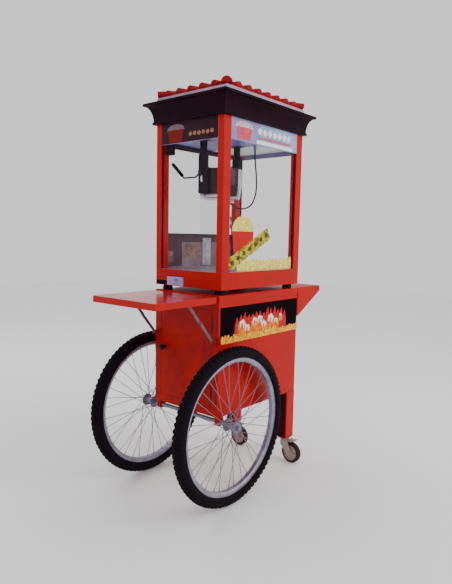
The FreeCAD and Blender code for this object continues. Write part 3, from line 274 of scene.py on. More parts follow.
def add_bump(nodes, links, bsdf, height, strength, distance):
    bump = nodes.new("ShaderNodeBump")
    bump.inputs["Strength"].default_value = strength
    bump.inputs["Distance"].default_value = distance
    links.new(height, bump.inputs["Height"])
    links.new(bump.outputs["Normal"], bsdf.inputs["Normal"])


def finish_for(name, colour, rough, metallic=0.0, vary=0.12, scale=9.0, grain=400.0, bump=0.08,
               alpha=1.0, stretch=(1, 1, 1), patch_colour=None, patch_from=0.62, emit=0.0, specular=0.5):
    """A painted, moulded or metal surface: broad tones, a fine texture and optional patches of a
    second colour, grime on most finishes and part of the painted shade or reflection on the films
    that paint light.
    """
    material, nodes, links, bsdf = node_tree(name)
    vector = coordinates(nodes, links)
    broad = noise(nodes, links, vector, scale)
    fine = noise(nodes, links, coordinates(nodes, links, stretch), grain, 3.0)
    dark = tuple(c * (1 - vary) for c in colour)
    light = tuple(min(1.0, c * (1 + vary)) for c in colour)
    tone = blend_colours(nodes, links, spread(nodes, links, broad, 0.3, 0.7, 0.0, 1.0), dark, light)
    if patch_colour:
        spots = noise(nodes, links, vector, scale * 3.1, 6.0, 0.65)
        patches = spread(nodes, links, spots, patch_from, patch_from + 0.2, 0.0, 0.6)
        tone = blend_colours(nodes, links, patches, tone, patch_colour)
    links.new(tone, bsdf.inputs["Base Color"])
    shine = spread(nodes, links, broad, 0.25, 0.75, max(0.02, rough * 0.8), min(1.0, rough * 1.3))
    links.new(shine, bsdf.inputs["Roughness"])
    add_bump(nodes, links, bsdf, fine, bump, BUMP_DEPTH)
    bsdf.inputs["Metallic"].default_value = metallic
    bsdf.inputs["Alpha"].default_value = alpha
    bsdf.inputs["Specular IOR Level"].default_value = specular
    if emit:
        bsdf.inputs["Emission Strength"].default_value = emit
        bsdf.inputs["Emission Color"].default_value = (*colour[:3], 1.0)
    return material


def paint(obj, material):
    obj.data.materials.clear()
    obj.data.materials.append(material)


RED = (0.42, 0.0040, 0.0032)            # the cart's enamel
M = {
    "red": finish_for("red_enamel", RED, 0.38, vary=0.10, scale=5.0, grain=260.0, bump=0.05,
        patch_colour=(0.26, 0.003, 0.004), patch_from=0.60, specular=0.12),
    # Painted shade: a darker copy of the red enamel for the door end and for the brackets and
    # clamps under the cart and shelf, with darker mottled patches.
    "red_painted_shade": finish_for("red_enamel_painted_shade", (0.34, 0.0040, 0.0036), 0.40, vary=0.20, scale=10.0,
        grain=260.0, bump=0.05, patch_colour=(0.13, 0.003, 0.004), patch_from=0.50, specular=0.12),
    "tile": finish_for("tile_glaze", (0.32, 0.0045, 0.0110), 0.55, vary=0.22, scale=22.0,
        grain=200.0, bump=0.15, patch_colour=(0.14, 0.004, 0.016), specular=0.1),
    "cornice": finish_for("cornice_enamel", (0.0110, 0.0008, 0.0048), 0.45, vary=0.45, scale=7.0,
        grain=180.0, bump=0.10, patch_colour=(0.028, 0.003, 0.026), patch_from=0.54, specular=0.05),
    "curb": finish_for("curb_enamel", (0.40, 0.32, 0.44), 0.45, vary=0.25, scale=14.0, grain=240.0,
        patch_colour=(0.30, 0.12, 0.20), specular=0.2),
    "tyre": finish_for("tyre_rubber", (0.0060, 0.0028, 0.0060), 0.72, vary=0.35, scale=40.0,
        grain=700.0, bump=0.35, patch_colour=(0.034, 0.024, 0.038), patch_from=0.62, specular=0.08),
    "rubber": finish_for("foot_rubber", (0.006, 0.005, 0.006), 0.65, vary=0.3, scale=60.0,
        grain=800.0, bump=0.25, specular=0.12),
    "axle": finish_for("axle_steel", (0.17, 0.19, 0.27), 0.40, metallic=0.4, vary=0.3, scale=40.0,
        grain=400.0, bump=0.08, patch_colour=(0.06, 0.05, 0.08), patch_from=0.56),
    "chrome": finish_for("chrome", (0.27, 0.26, 0.33), 0.42, metallic=0.5, vary=0.30, scale=22.0,
        grain=500.0, bump=0.05, patch_colour=(0.12, 0.08, 0.15), patch_from=0.56),
    "hub": finish_for("hub_steel", (0.21, 0.21, 0.29), 0.40, metallic=0.5, vary=0.30, scale=60.0,
        grain=500.0, bump=0.05, patch_colour=(0.07, 0.05, 0.08), patch_from=0.54),
    "spoke": finish_for("spoke_steel", (0.20, 0.13, 0.17), 0.5, metallic=0.3, vary=0.30, scale=24.0,
        grain=600.0, bump=0.05, patch_colour=(0.34, 0.28, 0.34), patch_from=0.56),
    "fork": finish_for("fork_steel", (0.36, 0.27, 0.27), 0.45, metallic=0.3, vary=0.25, scale=50.0,
        grain=420.0, bump=0.10, patch_colour=(0.20, 0.13, 0.13), patch_from=0.54),
    "zinc": finish_for("zinc_plate", (0.15, 0.09, 0.11), 0.50, metallic=0.2, vary=0.3, scale=45.0,
        grain=420.0, bump=0.10, patch_colour=(0.09, 0.02, 0.03), patch_from=0.52, specular=0.2),
    "switch": finish_for("switch_panel_enamel", (0.060, 0.010, 0.030), 0.40, vary=0.3, scale=12.0,
        grain=200.0, specular=0.15),
    "sill": finish_for("stained_steel", (0.19, 0.13, 0.16), 0.45, metallic=0.2, vary=0.35,
        scale=13.0, grain=70.0, bump=0.15, stretch=(1, 20, 20), patch_colour=(0.10, 0.06, 0.06),
        patch_from=0.48),
    "drawer": finish_for("drawer_steel", (0.36, 0.29, 0.52), 0.35, metallic=0.4, vary=0.20,
        scale=30.0, grain=70.0, bump=0.12, stretch=(1, 25, 25)),
    "black": finish_for("black_moulding", (0.0060, 0.0045, 0.0060), 0.42, vary=0.25, scale=50.0,
        grain=650.0, bump=0.15, specular=0.15),
    "hanger": finish_for("hanger_enamel", (0.0100, 0.0008, 0.0060), 0.42, vary=0.35, scale=16.0,
        grain=300.0, patch_colour=(0.030, 0.004, 0.028), specular=0.06),
    "shaft": finish_for("turned_steel", (0.50, 0.48, 0.54), 0.25, metallic=1.0, vary=0.1,
        scale=40.0, grain=300.0, bump=0.15),
    "cord": finish_for("cord_jacket", (0.030, 0.024, 0.032), 0.55, vary=0.25, scale=120.0,
        grain=900.0, bump=0.3, specular=0.2),
    "lamp_glass": finish_for("lamp_glass", (0.90, 0.82, 0.66), 0.2, vary=0.04, scale=30.0,
        emit=0.4),
    "glass": finish_for("window_glass", (0.30, 0.34, 0.36), 0.05, vary=0.06, scale=4.0, grain=20.0,
        bump=0.02, alpha=0.018),
    "acrylic": finish_for("clear_acrylic", (0.42, 0.50, 0.52), 0.10, vary=0.10, scale=5.0,
        grain=30.0, bump=0.03, alpha=0.05),
    "acrylic_right": finish_for("tinted_acrylic", (0.50, 0.56, 0.66), 0.12, vary=0.10, scale=5.0,
        grain=30.0, bump=0.03, alpha=0.16),
    "white": finish_for("white_vinyl", (0.80, 0.77, 0.80), 0.35, vary=0.05, scale=40.0),
    "black_vinyl": finish_for("black_vinyl", (0.0045, 0.0012, 0.0030), 0.60, vary=0.5, scale=26.0,
        grain=200.0, patch_colour=(0.026, 0.004, 0.010), patch_from=0.56, specular=0.02),
    "red_vinyl": finish_for("red_vinyl", (0.46, 0.0070, 0.0060), 0.36, vary=0.14, scale=45.0,
        specular=0.15),
    # Painted shade: the shelf-end sign's bucket, darker than the front sign's pink one.
    "bucket_dark": finish_for("dark_bucket_film", (0.17, 0.0040, 0.0030), 0.36, vary=0.2,
        scale=70.0, specular=0.12),
    "pink_vinyl": finish_for("pink_vinyl", (0.62, 0.060, 0.110), 0.36, vary=0.18, scale=90.0,
        specular=0.2),
    "blue_sign": finish_for("blue_sign_film", (0.26, 0.22, 0.42), 0.34, vary=0.18, scale=10.0,
        patch_colour=(0.16, 0.10, 0.26), specular=0.2),
    # Painted shade: the shelf-end sign's near-black ground.
    "dark_sign": finish_for("dark_sign_film", (0.022, 0.0030, 0.0100), 0.36, vary=0.35, scale=12.0,
        patch_colour=(0.055, 0.004, 0.014), patch_from=0.52, specular=0.12),
    # Painted reflections: dark, brown and pale patches for what shows in the sill panel.
    "reflection_dark": finish_for("painted_reflection_dark", (0.070, 0.030, 0.045), 0.45, vary=0.5, scale=60.0,
        specular=0.2, patch_colour=(0.16, 0.12, 0.15), patch_from=0.50),
    "reflection_brown": finish_for("painted_reflection_brown", (0.22, 0.12, 0.10), 0.45, vary=0.6, scale=55.0,
        patch_colour=(0.40, 0.34, 0.32), patch_from=0.50, specular=0.2),
    "reflection_pale": finish_for("painted_reflection_pale", (0.36, 0.35, 0.43), 0.40, vary=0.4, scale=40.0,
        specular=0.3),
    # Painted shadow: near-black maroon for the shaded inner faces of the caster legs.
    "leg_shade": finish_for("painted_shadow_leg_film", (0.035, 0.0020, 0.0040), 0.5, vary=0.4, scale=18.0,
        patch_colour=(0.12, 0.003, 0.006), patch_from=0.58, specular=0.06),
    # Painted shade: near-black for the shade on the base's end beside the kernel drawer.
    "painted_shade_dark": finish_for("painted_shade_dark", (0.008, 0.002, 0.004), 0.6, vary=0.4, scale=40.0,
        specular=0.05),
    "knuckle_red": finish_for("hinge_enamel", (0.26, 0.0060, 0.0060), 0.45, vary=0.2, scale=60.0,
        specular=0.2),
    "banner_dark": finish_for("banner_dark_film", (0.055, 0.060, 0.006), 0.4, vary=0.4, scale=90.0,
        specular=0.2),
    "sky_sign": finish_for("sky_sign_film", (0.30, 0.38, 0.54), 0.34, vary=0.14, scale=10.0,
        specular=0.2),
    "ribbon": finish_for("ribbon_film", (0.42, 0.09, 0.15), 0.35, vary=0.2, scale=60.0),
    # Painted shade: the shelf-end sign's popcorn dome, darker than the front sign's pale one.
    "dome_shade": finish_for("dome_shade_film", (0.15, 0.07, 0.10), 0.4, vary=0.3, scale=120.0),
    # Painted shade: the shelf-end sign's kernels, darker than the front sign's white ones.
    "kernel_in_shade": finish_for("kernel_painted_shade_film", (0.30, 0.09, 0.05), 0.4, vary=0.35, scale=120.0),
    # Painted shade: near-black strips for the shadow between the posts and the glass.
    "shade_strip": finish_for("painted_shade_strip", (0.012, 0.003, 0.008), 0.5, vary=0.3, scale=40.0,
        specular=0.1),
}


def kettle_steel():
    """Steel with painted reflections: dark above the foot as painted reflection of dark
    surroundings, pale upright streaks on one side as painted highlights, and a pale foot ring.
    """
    material, nodes, links, bsdf = node_tree("kettle_steel")
    vector = coordinates(nodes, links)
    axes = split_axes(nodes, links, vector)
    broad = noise(nodes, links, vector, 18.0)
    ragged = spread(nodes, links, broad, 0.3, 0.7, -0.008, 0.008)
    height = maths(nodes, links, "ADD", axes["Z"], ragged)
    upper = spread(nodes, links, height, 1.272, 1.282, 0.0, 1.0)
    # Painted highlights: pale upright streaks, only on one side of the pot, x from 0 to 0.045.
    streaks = noise(nodes, links, coordinates(nodes, links, (1, 1, 0.03)), 60.0, 2.0)
    highlight_streaks = spread(nodes, links, streaks, 0.36, 0.50, 0.15, 1.0)
    after = spread(nodes, links, axes["X"], -0.004, 0.004, 0.0, 1.0)
    before = spread(nodes, links, axes["X"], 0.040, 0.047, 1.0, 0.0)
    highlight_side = maths(nodes, links, "MULTIPLY", after, before)
    side = maths(nodes, links, "MULTIPLY", highlight_side, highlight_streaks)
    # Painted reflection: the near-black body colour stands in for dark surroundings reflected in
    # the steel.
    body = blend_colours(nodes, links, side, (0.030, 0.010, 0.018), (0.80, 0.78, 0.84))
    tone = blend_colours(nodes, links, upper, (0.52, 0.47, 0.58), body)
    links.new(tone, bsdf.inputs["Base Color"])
    links.new(spread(nodes, links, broad, 0.25, 0.75, 0.20, 0.32), bsdf.inputs["Roughness"])
    bsdf.inputs["Metallic"].default_value = 0.85
    rings = noise(nodes, links, coordinates(nodes, links, (1, 1, 60)), 9.0, 3.0)
    add_bump(nodes, links, bsdf, rings, 0.10, BUMP_DEPTH)
    return material


def shelf_enamel():
    """Enamel like the cart's on the rim, and glossy on the upper face with paler patches painted in
    as sheen.
    """
    material, nodes, links, bsdf = node_tree("red_enamel_top")
    vector = coordinates(nodes, links)
    height = split_axes(nodes, links, vector)["Z"]
    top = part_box("drop_shelf")[1][2]
    upper = spread(nodes, links, height, top - 0.0014, top - 0.0004, 0.0, 1.0)
    # Painted sheen: paler, pinkish patches on the upper face stand in for reflected light; the rim
    # keeps the plain red.
    sheen_patches = spread(nodes, links, noise(nodes, links, vector, 15.5, 6.0, 0.65), 0.48, 0.70, 0.0, 0.7)
    sheen_tone = blend_colours(nodes, links, sheen_patches, (0.41, 0.0060, 0.0060), (0.50, 0.110, 0.150))
    links.new(blend_colours(nodes, links, upper, RED, sheen_tone), bsdf.inputs["Base Color"])
    links.new(spread(nodes, links, upper, 0.0, 1.0, 0.50, 0.19), bsdf.inputs["Roughness"])
    bsdf.inputs["Specular IOR Level"].default_value = 0.17
    return material


def ceiling_enamel():
    """Lavender enamel, paler on the side where the lamp's diffuser is."""
    material, nodes, links, bsdf = node_tree("ceiling_enamel")
    vector = coordinates(nodes, links)
    pale = spread(nodes, links, split_axes(nodes, links, vector)["X"], 0.118, 0.134, 0.0, 1.0)
    shade = spread(nodes, links, noise(nodes, links, vector, 7.0), 0.35, 0.65, 0.0, 1.0)
    lavender = blend_colours(nodes, links, shade, (0.22, 0.22, 0.50), (0.10, 0.05, 0.24))
    tone = blend_colours(nodes, links, pale, lavender, (0.66, 0.72, 0.72))
    links.new(tone, bsdf.inputs["Base Color"])
    bsdf.inputs["Roughness"].default_value = 0.42
    bsdf.inputs["Specular IOR Level"].default_value = 0.25
    return material


def popcorn_film(name, pale, deep, scale, patches):
    """Printed popcorn: rounded cells, pale on top and golden in the gaps."""
    material, nodes, links, bsdf = node_tree(name)
    vector = coordinates(nodes, links)
    cells = nodes.new("ShaderNodeTexVoronoi")
    cells.inputs["Scale"].default_value = scale
    links.new(vector, cells.inputs["Vector"])
    inside = spread(nodes, links, cells.outputs["Distance"], 0.20, 0.62, 0.0, 1.0)
    tone = blend_colours(nodes, links, inside, pale, deep)
    patch = spread(nodes, links, noise(nodes, links, vector, scale * 0.6), 0.42, 0.66, 0.0, 0.55)
    tone = blend_colours(nodes, links, patch, tone, patches)
    links.new(tone, bsdf.inputs["Base Color"])
    bsdf.inputs["Roughness"].default_value = 0.5
    bsdf.inputs["Specular IOR Level"].default_value = 0.12
    return material


def caster_rubber(name, y):
    """A dark tread round a paler, dusty wheel centre; y is where the wheel's axle is."""
    material, nodes, links, bsdf = node_tree(name)
    vector = coordinates(nodes, links)
    from_axle = vector_maths(nodes, links, "SUBTRACT", vector, (0.0, y, 0.05))
    across = vector_maths(nodes, links, "MULTIPLY", from_axle, (0.0, 1.0, 1.0))
    reach = vector_maths(nodes, links, "LENGTH", across)
    tread = spread(nodes, links, reach, 0.0355, 0.0385, 0.0, 1.0)
    dust = spread(nodes, links, noise(nodes, links, vector, 90.0), 0.35, 0.65, 0.0, 1.0)
    middle = blend_colours(nodes, links, dust, (0.26, 0.17, 0.16), (0.36, 0.30, 0.28))
    tone = blend_colours(nodes, links, tread, middle, (0.030, 0.008, 0.010))
    links.new(tone, bsdf.inputs["Base Color"])
    bsdf.inputs["Roughness"].default_value = 0.55
    bsdf.inputs["Specular IOR Level"].default_value = 0.15
    return material


def deck_steel():
    """Brushed steel whose outer edges are enamelled like the base below it."""
    material, nodes, links, bsdf = node_tree("deck_steel")
    axes = split_axes(nodes, links, coordinates(nodes, links))
    grain = noise(nodes, links, coordinates(nodes, links, (1, 30, 30)), 8.0)
    streaks = spread(nodes, links, grain, 0.3, 0.7, 0.0, 1.0)
    tone = blend_colours(nodes, links, streaks, (0.24, 0.17, 0.22), (0.38, 0.34, 0.42))
    low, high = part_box("popcorn_deck")
    rim, soft = 0.001, 0.0004
    for axis, at, ends in (("X", low[0] + rim, (1.0, 0.0)), ("X", high[0] - rim, (0.0, 1.0)),
                           ("Y", low[1] + rim, (1.0, 0.0)), ("Y", high[1] - rim, (0.0, 1.0))):
        edge = spread(nodes, links, axes[axis], at - soft, at + soft, *ends)
        tone = blend_colours(nodes, links, edge, tone, RED)
    links.new(tone, bsdf.inputs["Base Color"])
    bsdf.inputs["Metallic"].default_value = 0.3
    bsdf.inputs["Roughness"].default_value = 0.36
    bsdf.inputs["Specular IOR Level"].default_value = 0.3
    return material


M["kettle"] = kettle_steel()
M["ceiling"] = ceiling_enamel()
M["red_top"] = shelf_enamel()
M["deck"] = deck_steel()
for side in ("front", "rear"):
    M[f"{side}_caster"] = caster_rubber(f"{side}_caster_rubber", centre(f"{side}_caster_wheel").y)
for name, pale, deep, scale, patches in (
        ("popcorn", (0.88, 0.62, 0.055), (0.72, 0.22, 0.010), 55.0, (0.86, 0.34, 0.012)),
        ("popcorn_pale", (0.86, 0.82, 0.24), (0.62, 0.50, 0.09), 70.0, (0.82, 0.62, 0.10)),
        ("popcorn_sign", (0.78, 0.74, 0.74), (0.44, 0.36, 0.38), 90.0, (0.62, 0.46, 0.42)),
        ("banner", (0.66, 0.48, 0.020), (0.13, 0.095, 0.006), 85.0, (0.74, 0.62, 0.06)),
        ("flame", (0.84, 0.24, 0.008), (0.60, 0.045, 0.004), 80.0, (0.86, 0.46, 0.020))):
    M[name] = popcorn_film(f"{name}_film", pale, deep, scale, patches)

FINISHES = {
    "red": ["side_panels", "end_panel", "cart_floor", "caster_legs", "machine_base", "corner_posts",
            "cart_top", "end_shelf"],
    # These parts take the darker red as painted shade.
    "red_painted_shade": ["door_frame", "cabinet_door", "axle_clamps", "stay_brackets"],
    "red_top": ["drop_shelf"],
    "knuckle_red": ["butt_hinges"],
    "tile": ["roof_tiles"], "cornice": ["cornice"], "curb": ["roof_curb"],
    "chrome": ["front_rim", "rear_rim"], "hub": ["front_hub", "rear_hub"],
    "spoke": ["front_spokes", "rear_spokes"],
    "zinc": ["lower_stays", "upper_stays"], "axle": ["axle"],
    "fork": ["caster_plates", "front_fork", "rear_fork", "front_brake_pedal", "rear_brake_pedal"],
    "deck": ["popcorn_deck"], "switch": ["switch_panel"], "sill": ["rear_sill"],
    "drawer": ["kernel_drawer"],
    "front_caster": ["front_caster_wheel"], "rear_caster": ["rear_caster_wheel"],
    "ceiling": ["ceiling_plate"], "rubber": ["rubber_feet"],
    "black": ["door_knob", "kettle_switch", "light_switch", "stir_motor"],
    "hanger": ["kettle_hangers", "dump_handle"],
    "kettle": ["kettle_pot", "kettle_crossbar", "front_lid", "rear_lid"],
    "shaft": ["drive_shaft", "agitator"], "glass": ["front_glass", "side_glass"],
    "acrylic": ["left_rear_door"], "acrylic_right": ["right_rear_door"],
    "blue_sign": ["header_signs"], "lamp_glass": ["cabin_lamp"],
    "tyre": ["front_tyre", "rear_tyre"], "cord": ["kettle_cord"],
}
for key, names in FINISHES.items():
    for name in names:
        paint(NODES[name], M[key])
paint(kettle_cord(), M["cord"])


# ---------------------------------------------------------------- large tyres
def tyre(side):
    """A casing turned round the wheel, with two moulded ribs and three rows of tread blocks."""
    node = f"{side}_tyre"
    middle = centre(node)
    crown, radius, block_height = 0.3300, 0.0258, 0.003
    core = crown - block_height - radius
    section, steps, ribs, reach = [], 24, (5, 19), 128
    for k in range(steps + 1):
        a = math.radians(reach * (2 * k / steps - 1))
        r = radius * (1.012 if k in ribs else 1.0)
        section.append((core + r * math.cos(a), r * math.sin(a) * 0.985))
    bm = bmesh.new()
    turns = 120
    rings = []
    for k in range(turns):
        a = 2 * math.pi * k / turns
        out = Vector((math.cos(a), 0, math.sin(a)))
        rings.append([bm.verts.new(middle + out * r + Vector((0, y, 0))) for r, y in section])
    for k in range(turns):
        low, high = rings[k], rings[(k + 1) % turns]
        for j in range(len(section) - 1):
            bm.faces.new((low[j], low[j + 1], high[j + 1], high[j]))
        bm.faces.new((low[-1], low[0], high[0], high[-1]))
    for face in bm.faces:
        face.smooth = True
    blocks = 84
    for k in range(blocks):
        for row, lift in ((-1, 0.5), (0, 0.0), (1, 0.5)):
            a = 2 * math.pi * (k + lift) / blocks
            lean = math.radians(row * 37)
            out = Vector((math.cos(a), 0, math.sin(a)))
            along = Vector((-math.sin(a), 0, math.cos(a)))
            up = out * math.cos(lean) + Vector((0, 1, 0)) * math.sin(lean)
            across = along.cross(up)
            at = middle + out * core + up * (radius + 0.0007)
            add_block(bm, at, (along, across, up), (0.0150, 0.0125, 0.0042), 0.80)
    casing = from_bmesh(f"{side}_tyre_casing", bm)
    paint(casing, M["tyre"])
    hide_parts(node)
    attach(casing, f"wheel_{side}")


tyre("front")
tyre("rear")


# ---------------------------------------------------------------- films on flat faces
FILM_GAP = 0.0003          # each layer of film stands this far off the one under it


def finish_film(name, bm, material, body):
    """Turn a flat mesh into a film that rides on a body."""
    obj = from_bmesh(name, bm)
    paint(obj, M[material])
    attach(obj, body)
    return obj


def film(name, outline, place, material, body="cart"):
    """A thin printed shape, filled from its middle; place turns (along, up) into a point."""
    bm = bmesh.new()
    count = len(outline)
    u_mid, v_mid = (sum(point[k] for point in outline) / count for k in (0, 1))
    middle = bm.verts.new(place(u_mid, v_mid))
    rim = [bm.verts.new(place(u, v)) for u, v in outline]
    for k in range(count):
        bm.faces.new((middle, rim[k], rim[(k + 1) % count]))
    return finish_film(name, bm, material, body)


def band(name, pairs, place, material, body="cart"):
    """A printed strip between a lower and an upper line, given as pairs of points."""
    bm = bmesh.new()
    rungs = [(bm.verts.new(place(*low)), bm.verts.new(place(*high))) for low, high in pairs]
    for (a, b), (c, d) in zip(rungs, rungs[1:]):
        bm.faces.new((a, c, d, b))
    return finish_film(name, bm, material, body)


def front_face(y):
    """A placer for points given as (x, z) on a face that looks along Y."""
    return lambda x, z: Vector((x, y, z))


def end_face(x):
    """A placer for points given as (y, z) on a face that looks along X."""
    return lambda y, z: Vector((x, y, z))


def arch(cx, cz, rx, rz, a0=0, a1=180, steps=14):
    """Points along part of an ellipse, from angle a0 to a1."""
    angles = [math.radians(a0 + (a1 - a0) * k / steps) for k in range(steps + 1)]
    return [(cx + rx * math.cos(a), cz + rz * math.sin(a)) for a in angles]


def bumpy(x0, x1, z0, z1, bumps, height, seed):
    """Rungs of a band whose upper edge is a row of popped kernels."""
    pick = random.Random(seed)
    width = (x1 - x0) / bumps
    pairs = []
    for k in range(bumps):
        lift = z1 - height + pick.uniform(-0.35, 0.35) * height
        tall = height * pick.uniform(0.7, 1.2)
        for x, z in arch(x0 + width * (k + 0.5), lift, width / 2, tall, 180, 0, 7):
            apart = 1e-6 * len(pairs)
            pairs.append(((x + apart, z0), (x + apart, z)))
    return pairs


def puff(cx, cz, size, seed):
    """A popped kernel: a few overlapping lobes as one outline."""
    pick = random.Random(seed)
    lobes = pick.choice((4, 5))
    turn = pick.uniform(0, 6)
    points = []
    for k in range(40):
        a = 2 * math.pi * k / 40
        r = size * (0.78 + 0.22 * abs(math.sin(lobes * a / 2 + turn)))
        points.append((cx + r * math.cos(a), cz + r * 0.9 * math.sin(a)))
    return points


def bucket(top, bottom, x_mid, z0, z1):
    """A tapered tub, given by its half widths at the top and the bottom."""
    return [(x_mid - bottom, z0), (x_mid + bottom, z0), (x_mid + top, z1), (x_mid - top, z1)]


def rectangle(u0, u1, v0, v1):
    return [(u0, v0), (u1, v0), (u1, v1), (u0, v1)]


FACE_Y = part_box("side_panels")[0][1] - FILM_GAP
FACE_X0, FACE_X1 = -0.209, 0.352
FACE_Z0, FACE_Z1 = 0.661, 0.812


def cart_graphic():
    """The flame and popcorn print along the customer's side."""
    ground = rectangle(FACE_X0, FACE_X1, FACE_Z0, FACE_Z1)
    film("graphic_ground", ground, front_face(FACE_Y), "black_vinyl")
    x0, x1, base, top = -0.118, 0.262, 0.684, 0.756
    pick = random.Random(21)
    spikes = 14
    flames = []
    for k in range(spikes * 2 + 1):
        u = k / (spikes * 2)
        crown = 1.0 - abs(2 * u - 1.0) ** 6
        tip = 0.012 + 0.026 * pick.random() if k % 2 else -0.006 * pick.random()
        x = x0 + (x1 - x0) * u + 0.004 * (pick.random() - 0.5)
        lean = 0.005 * pick.random() if k % 2 else 0.0
        flames.append(((x, base), (x + lean, top - 0.030 + 0.030 * crown + tip)))
    band("graphic_flames", flames, front_face(FACE_Y - FILM_GAP), "red_vinyl")
    puffs = ((-0.066, 0.732, 0.026), (-0.034, 0.712, 0.023), (0.020, 0.736, 0.024),
             (0.056, 0.740, 0.025), (0.086, 0.716, 0.022), (0.136, 0.738, 0.028),
             (0.178, 0.722, 0.018), (0.212, 0.744, 0.012))
    for k, (x, z, r) in enumerate(puffs):
        near = FACE_Y - 2 * FILM_GAP - 0.0004 * k
        glow = bucket(r * 1.05, r * 1.40, x, z - r * 2.2, z)
        film(f"graphic_glow_{k}", glow, front_face(near), "flame")
        film(f"graphic_puff_{k}", puff(x, z, r * 0.80, k), front_face(near - 0.00013), "white")
        eye = arch(x - 0.002, z - r * 0.30, r * 0.32, r * 0.52, 0, 345, 12)
        film(f"graphic_eye_{k}", eye, front_face(near - 0.00026), "flame")
    corn = bumpy(FACE_X0, FACE_X1, FACE_Z0, 0.693, 30, 0.013, 5)
    band("graphic_corn", corn, front_face(FACE_Y - 0.0040), "popcorn")


def window_stickers():
    """A bank of popcorn, a full bucket and a slanted banner on the front glass."""
    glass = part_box("front_glass")[0][1]
    first, second, third, fourth, fifth = (front_face(glass - FILM_GAP * k) for k in range(1, 6))
    band("window_corn", bumpy(-0.106, 0.297, 0.956, 1.010, 17, 0.014, 8), first, "popcorn_pale")
    dome = arch(-0.070, 1.128, 0.072, 0.060) + [(-0.142, 1.118), (0.002, 1.118)]
    film("window_dome", dome, second, "popcorn_pale")
    film("window_bucket", bucket(0.072, 0.062, -0.070, 1.036, 1.124), third, "red_vinyl")
    start, end, half = Vector((-0.158, 0.984)), Vector((0.112, 1.120)), 0.025
    along = (end - start).normalized()
    across = Vector((-along.y, along.x)) * half
    pairs = []
    for k in range(15):
        at = start + (end - start) * (k / 14)
        grow = 1.0 + 0.12 * (k % 2)
        pairs.append((tuple(at - across * grow), tuple(at + across * grow)))
    band("window_banner", pairs, fourth, "banner")
    for k in range(7):
        at = start + (end - start) * ((k + 0.5) / 7)
        film(f"banner_leaf_{k}", puff(at.x, at.y, 0.013, 40 + k), fifth, "banner_dark")


def sign_art():
    """Buckets and rows of popcorn on the sign panels over the front and the shelf end."""
    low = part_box("header_signs")[0]
    front, over, top = (front_face(low[1] - FILM_GAP * k) for k in (1, 2, 3))
    film("sign_tint", rectangle(0.020, 0.300, 1.491, 1.575), front, "sky_sign")
    film("sign_bucket", bucket(0.050, 0.040, -0.086, 1.497, 1.545), top, "pink_vinyl")
    dome = arch(-0.086, 1.546, 0.056, 0.024) + [(-0.142, 1.541), (-0.030, 1.541)]
    film("sign_dome", dome, over, "popcorn_sign")
    film("sign_band", rectangle(-0.004, 0.262, 1.492, 1.507), over, "white")
    for k in range(7):
        x = 0.018 + 0.036 * k
        film(f"sign_puff_{k}", puff(x, 1.545 - 0.0015 * (k % 2), 0.0155, 70 + k), over, "white")
    band("sign_ribbon", bumpy(0.010, 0.250, 1.513, 1.524, 22, 0.004, 3), top, "ribbon")
    # The shelf-end sign's ground, bucket, dome and kernels take darker colours than the front
    # sign's print, as painted shade.
    dark, red, upper = (end_face(low[0] - FILM_GAP * k) for k in (1, 2, 3))
    film("end_ground", rectangle(-0.1620, 0.1620, 1.490, 1.5765), dark, "dark_sign")
    film("end_bucket", bucket(0.047, 0.038, 0.077, 1.493, 1.545), upper, "bucket_dark")
    dome = arch(0.077, 1.546, 0.051, 0.022) + [(0.026, 1.541), (0.128, 1.541)]
    film("end_dome", dome, red, "dome_shade")
    for k in range(6):
        kernel = puff(-0.010 - 0.024 * k, 1.520 + 0.0015 * (k % 2), 0.0105, 90 + k)
        film(f"end_puff_{k}", kernel, red, "kernel_in_shade")


SILL_SHEET = 0.0015


def sill_marks():
    """Painted reflections on the panel under the rear doors, on its kettle side: dark, brown and
    pale patches and a painted shadow band.
    """
    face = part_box("rear_sill")[1][1] - SILL_SHEET - 0.0004
    inner = front_face(face)
    film("sill_dark_left", rectangle(-0.165, -0.060, 0.960, 1.106), inner, "reflection_dark")
    over = front_face(face - 0.0004)
    film("sill_brown", rectangle(-0.045, 0.060, 1.000, 1.060), over, "reflection_brown")
    film("sill_brown_left", rectangle(-0.155, -0.115, 0.980, 1.030), over, "reflection_brown")
    film("sill_shadow", rectangle(-0.060, 0.300, 1.072, 1.109), inner, "reflection_dark")
    film("sill_pale", rectangle(0.082, 0.140, 0.962, 1.092), over, "reflection_pale")


def dark_faces():
    """Painted shadow on the inner faces of the caster legs, and painted shade as a dark patch on
    the base's end beside the kernel drawer.
    """
    low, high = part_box("caster_legs")
    # A near-black film on each leg's inner face as painted shadow.
    inner = end_face(low[0] - FILM_GAP)
    for name, side in (("front", -1), ("rear", 1)):
        y0, y1 = sorted((side * (high[1] - 0.003), side * (high[1] - 0.049)))
        outline = rectangle(y0, y1, low[2] + 0.003, 0.354)
        film(f"{name}_leg_painted_shadow", outline, inner, "leg_shade")
    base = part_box("machine_base")[0]
    # A near-black film beside the kernel drawer as painted shade.
    shade_face = end_face(base[0] - FILM_GAP)
    outline = rectangle(0.1225, 0.1910, 0.8870, 0.9050)
    film("drawer_side_shade", outline, shade_face, "painted_shade_dark")


def duct():
    """A black cable duct in the corner beside the rear left post."""
    bm = bmesh.new()
    x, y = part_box("corner_posts")[0][0] + 0.020, 0.140
    add_block(bm, Vector((x + 0.012, y, 1.4795)), UPRIGHT, (0.022, 0.034, 0.0605))
    obj = from_bmesh("corner_duct", bm)
    paint(obj, M["hanger"])
    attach(obj, "cart")


